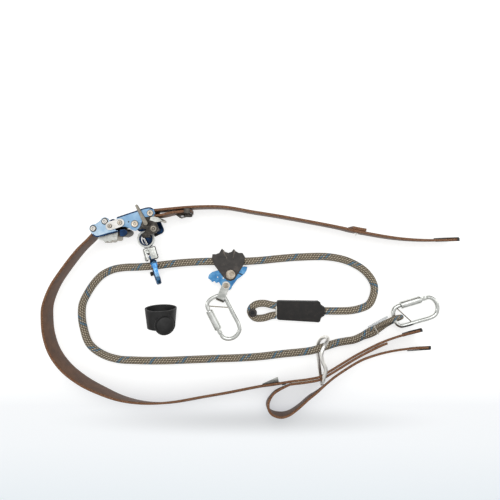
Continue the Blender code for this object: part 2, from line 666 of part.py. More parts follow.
yoke = bevel(
    box("snap_yoke", YOKE_X, (-CHEEK_Y[1], CHEEK_Y[1]), (-YOKE_H, YOKE_H), STEEL, rolled), 1.6, 1
)
cut(
    yoke,
    rod("yoke_bore", (0, 0, 0), EYE_OUT - 1, YOKE_X[0] + YOKE_WALL + 1, STEM_R + RUN, STEEL, rolled, (1, 0, 0), 16, True),
    box("yoke_slot", (YOKE_X[0] + YOKE_WALL, YOKE_X[1] + 5), (-CHEEK_Y[0], CHEEK_Y[0]), (-YOKE_H - 5, PLATE_Z), STEEL, rolled, True),
    box("yoke_window", (YOKE_X[0] + 4, YOKE_X[1] + 5), (-CHEEK_Y[0], -2.5), (PLATE_Z - 1, YOKE_H + 5), STEEL, rolled, True),
    rod("yoke_pin_bore", (40.5, 0, 0), -20, 20, 2.2 + RUN, STEEL, rolled, (0, 1, 0), 12, True),
)
yoke_pin = turned(
    "yoke_pin",
    [(0, -14.6), (3.6, -14.6), (3.6, -13.3), (2.2, -13.3), (2.2, 13.3), (3.6, 13.3), (3.6, 14.6), (0, 14.6)],
    (40.5, 0, 0), STEEL, rolled, (0, 1, 0), sides=12,
)
# The hook stands in the rolled frame's XZ plane: root between the cheeks, then a loop with a gate on its upper side
HOOK_T = 10.0
HOOK_END = 100.0
HOOK_H = 19.5
hook = bevel(prism(
    "snap_hook",
    [(35.5, -8), (44, -HOOK_ROOT_H), (50, -16), (60, -HOOK_H), (80, -HOOK_H), (91, -16), (98, -9), (HOOK_END, 0), (98, 9),
     (91, 16), (80, HOOK_H), (60, HOOK_H), (50, 16), (46.4, HOOK_ROOT_H), (35.5, 8)],
    -HOOK_T / 2, HOOK_T / 2, HOOK_BLUE, rolled, plane="XZ",
), 1.5, 1)
HOOK_ROOM = [(48.5, -6), (54, -11.8), (62, -12.3), (80, -12.3), (87, -9.5), (91, -4), (91, 4), (87, 9.5), (80, 12.3), (62, 12.3), (54, 11.8), (48.5, 6)]
GATE_X = (56.0, 84.0)
cut(
    hook,
    prism("hook_room", HOOK_ROOM, -9, 9, HOOK_BLUE, rolled, True, "XZ"),
    prism("hook_mouth", [(52.5, 9), (GATE_X[1], 9), (GATE_X[1] + 1.5, 22), (52.5, 22)], -9, 9, HOOK_BLUE, rolled, True, "XZ"),
    rod("hook_pin_bore", (40.5, 0, 0), -9, 9, 2.2 + RUN, STEEL, rolled, (0, 1, 0), 12, True),
)
GATE_PIN = (57.5, 15.6)
gate_axis = empty("snap_gate_axis", (0, 0, 0))
gate_axis.parent = rolled
gate_axis.location = Vector((GATE_PIN[0], 0, GATE_PIN[1])) * MM
gate_at = lambda points: [(x - GATE_PIN[0], z - GATE_PIN[1]) for x, z in points]
gate = prism(
    "snap_gate",
    gate_at([(53.3, 14.6), (55, 12.6), (60, 12.4), (83.4, 12.6), (84.4, 19), (82, 19.6), (58, 19.6), (53.6, 18.2)]),
    -HOOK_T / 2 + 0.8, HOOK_T / 2 - 0.8, HOOK_BLUE, gate_axis, plane="XZ",
)
cut(gate, rod("gate_bore", (0, 0, 0), -9, 9, 1.6 + RUN, STEEL, gate_axis, (0, 1, 0), 12, True))
# The gate's rivet sits in two ears that the hook has beside the gate's root
for side in (-1, 1):
    y = sorted((side * (HOOK_T / 2 - 0.8 + SEAT), side * (HOOK_T / 2 + 1.6)))
    ear = prism(
        f"gate_ear_{side}", [(50, 8), (54, 12.2), (62, 12.2), (62, 19.2), (52, 19.2), (48, 14)], *y, HOOK_BLUE, rolled, True, "XZ"
    )
    join(hook, ear)
cut(hook, rod("ear_bore", (GATE_PIN[0], 0, GATE_PIN[1]), -12, 12, 1.6 + RUN, STEEL, rolled, (0, 1, 0), 12, True))
turned(
    "gate_rivet",
    [(0, -8.2), (3.0, -8.2), (3.0, -6.9), (1.6, -6.9), (1.6, 6.9), (3.0, 6.9), (3.0, 8.2), (0, 8.2)],
    (GATE_PIN[0], 0, GATE_PIN[1]), COPPER, rolled, (0, 1, 0), sides=12,
)
# Knurled thumb lock on the hook's left side
turned(
    "thumb_lock", [(0, 0), (4.6, 0), (4.6, 5.4), (3.8, 6.4), (0, 6.4)],
    (74, -HOOK_T / 2 - SEAT, -15.9), DARK, rolled, (0, -1, 0), sides=12,
)

# Rope. Its route: x, y, z of the middle line
ROPE_ROUTE = [
    (243.5, -55.4, 9.3), (224, -64.1, 9.2), (204, -67.5, 9.4), (185, -70.5, 12), (159, -77.5, 16.2),
    (131, -86, 15.8), (105, -90.5, 11.5), (76, -94, 8.6), (21.5, -100.4, 8.3), (-24.5, -103.4, 8.3),
    (-80, -105.3, 8.3), (-134, -107.5, 8.3), (-189, -109.4, 8.3), (-244, -108.8, 8.3), (-285, -106, 8.3),
    (-318, -95, 8.3), (-345.5, -73, 8.3), (-359, -34, 8.3), (-362, -10, 8.3), (-360, 13, 8.3),
    (-351, 33, 8.3), (-335.5, 57, 8.3), (-318, 75, 8.3), (-295, 86.5, 8.3), (-271, 91, 10.5), (-240, 92.5, 17.5),
    (-204, 95, 22.8), (-175, 98.5, 20), (-140, 101.8, 15), (-97, 104, 13.5), (-50, 104.2, 13.5),
    (-11, 104.6, 13.5), (25, 106.5, 10), (64.5, 110.4, 8.4), (107.5, 113.6, 8.3), (172, 113.6, 8.3),
    (215, 103, 8.3), (250.5, 80, 8.3), (267.5, 50, 8.3), (262, 21.2, 8.3), (254, 10.4, 8.4), (234.5, 2.2, 9),
    (214, -1.4, 10.5), (193.6, -1.9, 11.8), (160.3, -1.8, 12),
]
wire("rope_main", smooth_line(ROPE_ROUTE, ROPE_STEP), ROPE_D, ROPE, res=2)

# Sewn eye at the carabiner end: a throat, then two thinner legs that cross over and under the carabiner's bar
THROAT = (250.0, -52.5)
THROAT_A = 24.0
THROAT_L = 13.0
throat = empty("throat_axis", (*THROAT, 9.3), THROAT_A)
bevel(box("eye_b_throat", (-THROAT_L / 2, THROAT_L / 2), (-10.8, 10.8), (-8.4, 8.4), ROPE, throat), 3.5, 2)
EYE_B_ROUTE = [
    (254.4, -44.6, 9), (262, -41.1, 9.4), (272, -35, 11.4), (286, -26.4, 18), (298, -19, 24), (309, -14, 25.4),
    (319.5, -13, 22), (322.5, -15, 15), (318, -19.6, 7.4), (308, -25, 5.4), (294, -32.6, 5.4), (280, -42, 6.5),
    (267, -50.6, 8.6), (259, -54.4, 9),
]
wire("rope_eye_b", smooth_line(EYE_B_ROUTE, 7), EYE_ROPE_D, ROPE, res=2)

# Eye at the sleeve's end, with its bushing, and the black textile sleeve
SLEEVE_X = (57.0, 159.3)
SLEEVE_H = 23.0
EYE_A_ROUTE = [
    (SLEEVE_X[0] - 5 * SEAT, 9.8, 12), (47, 10.8, 11.9), (30, 14.2, 9.6), (14, 12.2, 8.4), (4, 5.4, 8.3),
    (0.8, -2.2, 8.3), (3.6, -10.6, 8.3), (12, -17.4, 8.4), (28, -17.4, 9.6), (46, -11.8, 11.9),
    (SLEEVE_X[0] - 5 * SEAT, -10.4, 12),
]
wire("rope_eye_a", smooth_line(EYE_A_ROUTE, 8), ROPE_D - 0.6, ROPE, res=2)
sleeve = prism(
    "rope_sleeve",
    [(SLEEVE_X[0], -20), (100, -22.4), (141, -25), (146, -26.5), (149.5, -23), (151, -14), (SLEEVE_X[1], -12.2),
     (SLEEVE_X[1], 8.8), (151, 10.5), (149.5, 17.5), (146, 21), (141, 19.6), (100, 20), (SLEEVE_X[0], 21)],
    0.4, SLEEVE_H, TEXTILE,
)
bevel(sleeve, 4.5, 2, 60)
turned(
    "eye_bushing", [(4.4, 0), (9.2, 0), (9.2, 2.6), (8.2, 3.8), (4.4, 3.8)],
    (5.6, -4.7, 8.3 + ROPE_D / 2 + SEAT), BLACK, sides=20,
)

# Rope grab: a cover open on the cam's side and at both ends, the cam that grips the rope, and a folded link
GRAB_RIVET = (-41.0, 77.0)
GRAB_Z = 13.5  # the rope's middle line inside the grab
COVER_WALL = 3.0
CAM_T = 16.4
GRAB_ROOM = (GRAB_Z - CAM_T / 2 - 2 * SEAT, GRAB_Z + CAM_T / 2 + 2 * SEAT)
COVER_Z = (GRAB_ROOM[0] - COVER_WALL, GRAB_ROOM[1] + COVER_WALL)
cover = prism(
    "grab_cover",
    [(-80.5, 112), (-79.5, 120), (-73, 119.6), (-65, 122.5), (-59.5, 132), (-56, 126), (-47, 122.5), (-39, 125),
     (-34.5, 131), (-30.5, 126), (-24, 122.6), (-16, 122.4), (-10.6, 113.5), (-12.5, 99.5), (-19, 88), (-27, 76),
     (-33, 66.5), (-41, 63), (-49, 64.6), (-55, 70), (-66, 84), (-76.5, 98)],
    *COVER_Z, BLACK,
)
ROPE_ROOM_Y = 104.4 + ROPE_D / 2 + 2 * SEAT
cut(
    cover,
    box("cover_room", (-120, 20), (20, ROPE_ROOM_Y), GRAB_ROOM, BLACK, cutter=True),
    rod("cover_bore", (*GRAB_RIVET, 0), -5, 40, 4.0 + RUN, sides=16, cutter=True),
)
rivet("grab_rivet", GRAB_RIVET, COVER_Z[0] - SEAT, COVER_Z[1] + SEAT, 4.0, 9.0, COVER_Z[0] - SEAT - 0.2, STEEL, sides=18)
grab_axis = empty("grab_cam_axis", (*GRAB_RIVET, 0))
LINK_AT = (-50.8, 53.6)
cam = prism(
    "grab_cam",
    about(GRAB_RIVET, [
        (-89, 69), (-87, 76.5), (-81, 81.5), (-73, 84), (-64, 86.5), (-55, 91), (-48, 94), (-41, 94.9), (-33, 93.4),
        (-22, 91), (-12, 93.6), (-5.5, 92.5), (-7.5, 85), (-12, 78), (-18, 73), (-27, 66.5), (-34, 57), (-40, 48.5),
        (-50, 44.8), (-58, 48), (-62, 54), (-66, 60.5), (-72, 58.5), (-75, 62.8), (-80.5, 60.5), (-82.5, 64),
    ]),
    GRAB_Z - CAM_T / 2, GRAB_Z + CAM_T / 2, HOOK_BLUE, grab_axis,
)
cam_link_at = (*about(GRAB_RIVET, [LINK_AT])[0], 0)
cut(
    cam,
    rod("cam_pivot_bore", (0, 0, 0), 0, 40, 4.0 + RUN, STEEL, grab_axis, sides=16, cutter=True),
    rod("cam_link_bore", cam_link_at, 0, 40, 2.6 + RUN, STEEL, grab_axis, sides=16, cutter=True),
)
# Folded link: two cheeks joined by a round fold, which holds the first carabiner's bar
FOLD_AT = 27.0
LINK_W = 17.0
FOLD_WALL = 2.2
FOLD_IN = CAM_T / 2 + SEAT
link_turn = -113.0
link_axis = empty("grab_link_axis", (*LINK_AT, GRAB_Z), link_turn)
outer_r, inner_r = FOLD_IN + FOLD_WALL, FOLD_IN
fold = [(-9.5, outer_r)] + [
    (FOLD_AT + outer_r * math.cos(math.radians(90 - 18 * k)), outer_r * math.sin(math.radians(90 - 18 * k)))
    for k in range(11)
] + [(-9.5, -outer_r), (-9.5, -inner_r)] + [
    (FOLD_AT + inner_r * math.cos(math.radians(-90 + 18 * k)), inner_r * math.sin(math.radians(-90 + 18 * k)))
    for k in range(11)
] + [(-9.5, inner_r)]
grab_link = prism("grab_link", fold, -LINK_W / 2, LINK_W / 2, STEEL, link_axis, plane="XZ")
blank = prism("link_blank", stadium(0, 0, 60, 0, 9.0, LINK_W / 2 + 1), -30, 30, STEEL, link_axis, cutter=True)
cut(grab_link, blank, op="INTERSECT")
cut(grab_link, rod("link_bore", (0, 0, 0), -30, 30, 2.6 + RUN, STEEL, link_axis, sides=16, cutter=True))
rivet("grab_link_rivet", LINK_AT, GRAB_Z - outer_r - SEAT, GRAB_Z + outer_r + SEAT, 2.6, 6.0, 1.6, STEEL, sides=16)

# Locking carabiners. In each one's frame X runs from the held end down the spine; hand is the gate's side.
BAR_ROUTE = [
    (11.0, 43.2), (5, 42.9), (-2, 40), (-7.2, 32), (-8.5, 20), (-6, 8), (0, 1.6), (9, 0), (40, 0), (68, 0),
    (79, 3.6), (86, 14), (87.3, 26), (83, 36.5), (77, 41.7), (71.5, 43.2),
]
GATE_Y = 43.2
HINGE_X = 64.5
GATE_R = 4.4
SLEEVE_X0, SLEEVE_X1 = 12.6, 57.0
WIRE_ENDS = ((3.2, 39.5), (25.8, 2.0))


def carabiner(tag, at, turn, hand):
    held = empty(f"carabiner_{tag}_axis", at, turn)
    line = [(x, hand * y, 0) for x, y in BAR_ROUTE]
    bar = wire(f"carabiner_{tag}_body", smooth_line(line, 8.5), BAR_D, STEEL, held, res=2)
    depsgraph = bpy.context.evaluated_depsgraph_get()
    mesh = bpy.data.meshes.new_from_object(bar.evaluated_get(depsgraph))
    bpy.data.objects.remove(bar, do_unlink=True)
    body = bpy.data.objects.new(f"carabiner_{tag}_body", mesh)
    bpy.context.scene.collection.objects.link(body)
    body.parent = held
    tongue = box(
        f"tongue_{tag}", (59.3, 74), sorted((hand * (GATE_Y - 3.2), hand * (GATE_Y + 3.2))), (-1.5, 1.5), STEEL, held, True
    )
    (ax, ay), (bx, by) = WIRE_ENDS
    along = Vector((bx - ax, hand * (by - ay), 0))
    captive = rod(f"captive_{tag}", (ax, hand * ay, 0), 0, along.length, 1.1, STEEL, held, tuple(along), 8, True)
    join(body, tongue, captive)
    cut(body, rod(f"tongue_bore_{tag}", (HINGE_X, hand * GATE_Y, 0), -9, 9, 1.6 + RUN, STEEL, held, sides=12, cutter=True))
    hinge = empty(f"carabiner_{tag}_hinge", (0, 0, 0))
    hinge.parent = held
    hinge.location = Vector((HINGE_X, hand * GATE_Y, 0)) * MM
    gate = rod(f"carabiner_{tag}_gate", (0, 0, 0), 12.0 - HINGE_X, 69.0 - HINGE_X, GATE_R, STEEL, hinge, (1, 0, 0), 16)
    cut(
        gate,
        box(f"gate_slot_{tag}", (57.6 - HINGE_X, 75 - HINGE_X), (-9, 9), (-1.5 - SEAT, 1.5 + SEAT), STEEL, hinge, True),
        rod(f"gate_bore_{tag}", (0, 0, 0), -9, 9, 1.6 + RUN, STEEL, hinge, sides=12, cutter=True),
    )
    turned(
        f"carabiner_{tag}_sleeve",
        [(GATE_R + RUN, SLEEVE_X0 - HINGE_X), (SLEEVE_R - 1, SLEEVE_X0 - HINGE_X), (SLEEVE_R, SLEEVE_X0 + 1 - HINGE_X),
         (SLEEVE_R, SLEEVE_X1 - 1 - HINGE_X), (SLEEVE_R - 1, SLEEVE_X1 - HINGE_X), (GATE_R + RUN, SLEEVE_X1 - HINGE_X)],
        (0, 0, 0), STEEL, hinge, (1, 0, 0), sides=16,
    )
    turned(
        f"carabiner_{tag}_rivet", [(0, -4.7), (2.4, -4.7), (2.4, -4.6), (1.6, -4.6), (1.6, 4.6), (2.4, 4.6), (2.4, 4.7), (0, 4.7)],
        (HINGE_X, hand * GATE_Y, 0), DARK, held, sides=12,
    )
    return held


FOLD_X = LINK_AT[0] + FOLD_AT * math.cos(math.radians(link_turn))
FOLD_Y = LINK_AT[1] + FOLD_AT * math.sin(math.radians(link_turn))
carabiner("a", (FOLD_X + 6.5, FOLD_Y + 0.8, GRAB_Z), -63.1, -1)
carabiner("b", (321.6, -34.4, 15.4), 16.6, 1)

# Loose keeper: a rubber band that stands by itself, slightly wider at its far end, with a round button
BAND_R = (29.0, 33.0)
BAND_W = 41.0
BAND_WALL = 3.0
BUTTON_A = 26.0
BUTTON_R = 18.0
flare = math.atan2(BAND_R[1] - BAND_R[0], BAND_W)
band_axis = empty("band_axis", (-186.6, -33.0, BAND_R[0] / math.cos(flare) + 0.2))
band_axis.matrix_world = band_axis.matrix_world @ Matrix.Rotation(math.radians(-90) + flare, 4, "X")
bpy.context.view_layer.update()
band = turned(
    "keeper_band",
    [(BAND_R[0] - BAND_WALL, 0), (BAND_R[0], 0), (BAND_R[1], BAND_W), (BAND_R[1] - BAND_WALL, BAND_W)],
    (0, 0, 0), RUBBER, band_axis, sides=36,
)
out_dir = Vector((math.sin(math.radians(BUTTON_A)), -math.cos(math.radians(BUTTON_A)), 0))
seat_r = BAND_R[0] + (BAND_R[1] - BAND_R[0]) * 0.35
button_at = Vector((0, 0, 12.5)) + out_dir * (seat_r - 0.6)
flap = rod("band_flap", tuple(button_at), 0, 2.6, 21.5, RUBBER, band_axis, tuple(out_dir), 28, True)
join(band, flap)
turned(
    "keeper_button", [(0, 0), (BUTTON_R, 0), (BUTTON_R, 2.4), (BUTTON_R - 1.6, 4.2), (BUTTON_R * 0.5, 5.6), (0, 6)],
    tuple(button_at + out_dir * (2.6 + SEAT)), RUBBER, band_axis, tuple(out_dir), sides=28,
)
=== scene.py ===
"""Looks of a pole climbing fall restrictor: webbing, rope, adjuster, snap, grab and carabiners on a white table.

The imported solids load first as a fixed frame. Straps, rope and carabiners are modelled anew at the places of their
solids, and most other pieces are cleaned copies of their solids with eased edges. Sizes are in millimetres and go
through MM, except those of the stage and in the materials, which are in metres.
"""
import json
import math
from functools import partial

import bmesh
import bpy
from bpy.props import FloatProperty, IntProperty, PointerProperty
from mathutils import Matrix, Vector


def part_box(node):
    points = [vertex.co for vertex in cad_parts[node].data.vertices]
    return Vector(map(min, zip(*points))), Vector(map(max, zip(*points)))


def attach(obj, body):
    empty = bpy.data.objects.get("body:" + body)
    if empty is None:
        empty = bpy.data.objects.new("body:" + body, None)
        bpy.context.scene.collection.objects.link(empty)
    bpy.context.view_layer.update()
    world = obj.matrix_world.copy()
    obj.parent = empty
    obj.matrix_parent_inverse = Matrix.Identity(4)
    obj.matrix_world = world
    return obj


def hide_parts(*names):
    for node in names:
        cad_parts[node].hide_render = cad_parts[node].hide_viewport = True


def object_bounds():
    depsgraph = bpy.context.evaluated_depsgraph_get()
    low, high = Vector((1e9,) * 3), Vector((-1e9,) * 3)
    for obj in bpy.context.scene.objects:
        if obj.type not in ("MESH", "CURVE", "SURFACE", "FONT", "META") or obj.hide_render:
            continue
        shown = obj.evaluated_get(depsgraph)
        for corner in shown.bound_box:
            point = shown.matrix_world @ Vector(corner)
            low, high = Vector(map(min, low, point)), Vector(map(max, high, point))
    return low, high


bl_info = {
    "name": "Pole climbing fall restrictor looks",
    "version": (1, 0, 0),
    "blender": (4, 5, 0),
    "location": "3D View > Sidebar > Restrictor",
    "description": "Builds the webbing, rope, metalwork and studio of a pole climbing fall restrictor",
    "category": "Object",
}

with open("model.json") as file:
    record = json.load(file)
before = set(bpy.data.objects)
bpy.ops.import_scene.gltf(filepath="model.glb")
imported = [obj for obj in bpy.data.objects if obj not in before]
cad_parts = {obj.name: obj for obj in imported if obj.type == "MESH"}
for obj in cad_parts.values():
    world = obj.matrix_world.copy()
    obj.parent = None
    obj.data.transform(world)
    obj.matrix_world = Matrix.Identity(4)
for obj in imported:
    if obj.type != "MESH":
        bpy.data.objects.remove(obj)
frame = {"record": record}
SOLID_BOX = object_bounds()
BODY_OF = {node: body for body, nodes in frame["record"]["behaviour"]["bodies"].items() for node in nodes}
MM = 0.001
CIRCLE = 2 * math.pi
ALL = slice(None)
COLOURS = {"out": 2, "data_type": "RGBA"}  # a Mix node that mixes colours


# ---------------------------------------------------------------- colours and shader nodes

def linear(code):
    """An sRGB hex colour as linear RGBA."""
    out = []
    for i in (1, 3, 5):
        c = int(code[i:i + 2], 16) / 255
        out.append(c / 12.92 if c <= 0.04045 else ((c + 0.055) / 1.055) ** 2.4)
    return (*out, 1.0)


def fill(node, inputs):
    """Set or link the inputs of a node, by name or in order: each is a value or another node's output."""
    for key, value in inputs.items() if isinstance(inputs, dict) else enumerate(inputs):
        if isinstance(value, bpy.types.NodeSocket):
            node.id_data.links.new(value, node.inputs[key])
        else:
            node.inputs[key].default_value = value


def add(tree, kind, inputs=(), operation=None, stops=(), out=0, **settings):
    """One shader node with its settings, links and colour stops; gives the output named out, or ALL of them."""
    node = tree.nodes.new("ShaderNode" + kind)
    if operation:
        node.operation = operation
    for key, value in settings.items():
        setattr(node, key, value)
    for i, (place, code) in enumerate(stops):
        stop = node.color_ramp.elements[i] if i < 2 else node.color_ramp.elements.new(place)
        stop.position = place
        stop.color = linear(code)
    fill(node, inputs)
    return node.outputs[out]


def fresh(name):
    """An empty material: itself, its surface shader and a function that adds a node to it."""
    mat = bpy.data.materials.new(name)
    mat.use_nodes = True
    return mat, mat.node_tree.nodes["Principled BSDF"], partial(add, mat.node_tree)


# ---------------------------------------------------------------- materials

# Each function below draws one kind of finish. It is given the function that adds a node and the object's coordinates,
# and gives the inputs of the surface shader.

RIB_PITCH = 0.0021
WARP_PITCH = 0.0048
STRAND_PITCH = 0.0057
STRAND_STARTS = 6.0
TRACER_PITCH = 0.066


def coated_webbing(node, where):
    """PVC-coated polyester webbing, woven then dipped. The coat leaves the weft ribs standing 2.1 mm apart, paler
    on their crowns, and the folded selvedge lighter and redder than the face."""
    lay = node("Attribute", out=1, attribute_name="lay")
    along, height, rim = node("SeparateXYZ", (lay,), out=ALL)
    wave = node("Math", (along, CIRCLE / RIB_PITCH), "MULTIPLY")
    wave = node("Math", (wave,), "SINE")
    ribs = node("MapRange", {"Value": wave, "From Min": -1.0, "From Max": 1.0})
    warp = node("Math", (height, CIRCLE / WARP_PITCH), "MULTIPLY")
    warp = node("Math", (warp,), "SINE")
    soil = node("TexNoise", {"Vector": where, "Scale": 38.0, "Detail": 5.0, "Roughness": 0.6})
    fine = node("TexNoise", {"Vector": where, "Scale": 520.0, "Detail": 3.0})
    face = node("ValToRGB", {"Fac": soil}, stops=((0.3, "#43291C"), (0.52, "#664632"), (0.75, "#7D5D49")))
    crown = node("Math", (ribs, 0.32), "MULTIPLY")
    face = node("Mix", {0: crown, 6: face, 7: linear("#957A66")}, **COLOURS)
    selvedge = node("ValToRGB", {"Fac": fine}, stops=((0.3, "#523420"), (0.52, "#7A5439"), (0.8, "#A58164")))
    rise = node("Math", (warp, 0.2, ribs), "MULTIPLY_ADD")
    rise = node("Math", (fine, 0.35, rise), "MULTIPLY_ADD")
    return {
        "Base Color": node("Mix", {0: rim, 6: face, 7: selvedge}, **COLOURS),
        "Roughness": node("MapRange", {"Value": soil, "To Min": 0.42, "To Max": 0.7}),
        "Specular IOR Level": 0.32,
        "Normal": node("Bump", {"Strength": 0.6, "Distance": 0.0005, "Height": rise}),
    }


def braided_rope(node, where):
    """Plaited polyester rope. Two sets of strands cross, 5.7 mm apart along the rope so that they show, and a blue
    tracer surfaces as dotted slanting bands every 66 mm."""
    lay = node("Attribute", out=1, attribute_name="lay")
    along, cosine, sine = node("SeparateXYZ", (lay,), out=ALL)
    turn = node("Math", (sine, cosine), "ARCTAN2")
    phase = node("Math", (along, CIRCLE / STRAND_PITCH), "MULTIPLY")
    left, right = (
        node("Math", (node("Math", (turn, starts, phase), "MULTIPLY_ADD"),), "SINE")
        for starts in (STRAND_STARTS, -STRAND_STARTS)
    )
    cross = node("Math", (left, right), "MULTIPLY")
    lead = node("Math", (left, 0.5, cross), "MULTIPLY_ADD")
    braid = node("MapRange", {"Value": lead, "From Min": -1.2, "From Max": 1.3})
    fuzz = node("TexNoise", {"Vector": where, "Scale": 1100.0, "Detail": 3.0})
    grime = node("TexNoise", {"Vector": where, "Scale": 32.0, "Detail": 3.0})
    # the ramp runs from near black in the gaps between strands, painted shade, to pale on their crowns, painted
    # highlight; the rope's own khaki lies between
    body = node("ValToRGB", {"Fac": braid},
               stops=((0.2, "#1D1711"), (0.42, "#5C5040"), (0.6, "#9C8E76"), (0.8, "#E3D8C3")))
    for mask, share, code in ((fuzz, 0.12, "#8A7E6B"), (grime, 0.25, "#655A49")):
        veil = node("Math", (mask, share), "MULTIPLY")
        body = node("Mix", {0: veil, 6: body, 7: linear(code)}, **COLOURS)
    # the tracer: slanting bands, shown on leading strands only and broken up by every second strand
    slant = node("Math", (along, CIRCLE / TRACER_PITCH, turn), "MULTIPLY_ADD")
    crest = node("Math", (slant,), "SINE")
    band = node("MapRange", {"Value": crest, "From Min": 0.66, "From Max": 0.82})
    dotted = node("MapRange", {"Value": lead, "From Min": -0.1, "From Max": 0.35})
    half = node("Math", (phase, 0.5), "MULTIPLY")
    pair = node("Math", (turn, STRAND_STARTS / 2, half), "MULTIPLY_ADD")
    pair = node("Math", (pair,), "SINE")
    second = node("MapRange", {"Value": pair, "From Min": -0.5, "From Max": 0.1})
    dotted = node("Math", (dotted, second), "MULTIPLY")
    fleck = node("Math", (band, dotted), "MULTIPLY")
    # the tracer's blue runs dark in the strand gaps and pale on their crowns in the same way: painted shade and
    # highlight
    tint = node("ValToRGB", {"Fac": braid}, stops=((0.3, "#1D4E6C"), (0.8, "#5299BF")))
    rise = node("Math", (fuzz, 0.3, braid), "MULTIPLY_ADD")
    return {
        "Base Color": node("Mix", {0: fleck, 6: body, 7: tint}, **COLOURS),
        "Roughness": node("MapRange", {"Value": fuzz, "To Min": 0.7, "To Max": 0.95}),
        "Sheen Weight": 0.12,
        "Normal": node("Bump", {"Strength": 1.0, "Distance": 0.0012, "Height": rise}),
    }


def metal(node, where, dark, mid, light, rough, metallic=1.0, patch=60.0, grain=1400.0, depth=0.1):
    """A metal or anodised surface: its tone and gloss drift over patches of 1000 / patch mm or so, over a fine grain
    left by tumbling or brushing, and faint scratches catch the light."""
    drift = node("TexNoise", {"Vector": where, "Scale": patch, "Detail": 6.0, "Roughness": 0.62})
    fine = node("TexNoise", {"Vector": where, "Scale": grain, "Detail": 2.0})
    drawn = node("Mapping", {"Vector": where, "Rotation": (0.3, 0.2, 0.6), "Scale": (30.0, 900.0, 700.0)})
    scratch = node("TexNoise", {"Vector": drawn, "Scale": 1.0, "Detail": 2.0})
    worn = node("MapRange", {"Value": scratch, "From Min": 0.58, "From Max": 0.72, "To Max": 0.5})
    tone = node("ValToRGB", {"Fac": drift}, stops=((0.3, dark), (0.5, mid), (0.72, light)))
    rise = node("Math", (scratch, 0.6, fine), "MULTIPLY_ADD")
    return {
        "Base Color": node("Mix", {0: worn, 6: tone, 7: linear(light)}, **COLOURS),
        "Roughness": node("MapRange", {"Value": drift, "To Min": rough * 0.7, "To Max": rough * 1.4}),
        "Metallic": metallic,
        "Normal": node("Bump", {"Strength": depth, "Distance": 0.0002, "Height": rise}),
    }


def moulding(node, where, dark, mid, light, rough, grain=900.0, depth=0.2):
    """A moulded or dipped polymer: a grain about 1000 / grain mm across, under a tone and gloss that drift where it
    has been handled."""
    drift = node("TexNoise", {"Vector": where, "Scale": 60.0, "Detail": 5.0, "Roughness": 0.6})
    pitted = node("TexVoronoi", {"Vector": where, "Scale": grain})
    fine = node("TexNoise", {"Vector": where, "Scale": grain, "Detail": 3.0})
    rise = node("Math", (pitted, 0.5, fine), "MULTIPLY_ADD")
    return {
        "Base Color": node("ValToRGB", {"Fac": drift}, stops=((0.32, dark), (0.52, mid), (0.74, light))),
        "Roughness": node("MapRange", {"Value": drift, "To Min": rough * 0.75, "To Max": rough * 1.25}),
        "Normal": node("Bump", {"Strength": depth, "Distance": 0.0003, "Height": rise}),
    }


def woven_tape(node, where):
    """Black polyester tape: a plain weave, drawn 2.4 mm apart so that it shows, with pale lint caught on it."""
    warp, weft = (
        node("TexWave", {"Vector": where, "Scale": 130.0, "Distortion": 1.0, "Detail": 2.0}, out=1,
            bands_direction=way)
        for way in "XY"
    )
    lint = node("TexNoise", {"Vector": where, "Scale": 110.0, "Detail": 6.0, "Roughness": 0.65})
    cloth = node("Math", (warp, weft), "ADD")
    tone = node("Math", (cloth, 0.22, lint), "MULTIPLY_ADD")
    return {
        "Base Color": node(
            "ValToRGB", {"Fac": tone}, stops=((0.5, "#090807"), (0.78, "#181513"), (1.0, "#342F2C"))
        ),
        "Roughness": node("MapRange", {"Value": lint, "To Min": 0.6, "To Max": 0.9}),
        "Sheen Weight": 0.2,
        "Normal": node("Bump", {"Strength": 0.7, "Distance": 0.0005, "Height": tone}),
    }


def clear_film(node, where):
    """Clear polyethylene film: wrinkled, glossy and nearly colourless."""
    wrinkle = node("TexNoise", {"Vector": where, "Scale": 190.0, "Detail": 3.0, "Distortion": 1.5})
    return {
        "Base Color": node("ValToRGB", {"Fac": wrinkle}, stops=((0.3, "#B9BFC2"), (0.7, "#E4E7E8"))),
        "Roughness": 0.12, "IOR": 1.5,
        "Alpha": node("MapRange", {
            "Value": wrinkle, "From Min": 0.4, "From Max": 0.75, "To Min": 0.5, "To Max": 0.95,
        }),
        "Normal": node("Bump", {"Strength": 0.8, "Distance": 0.001, "Height": wrinkle}),
    }


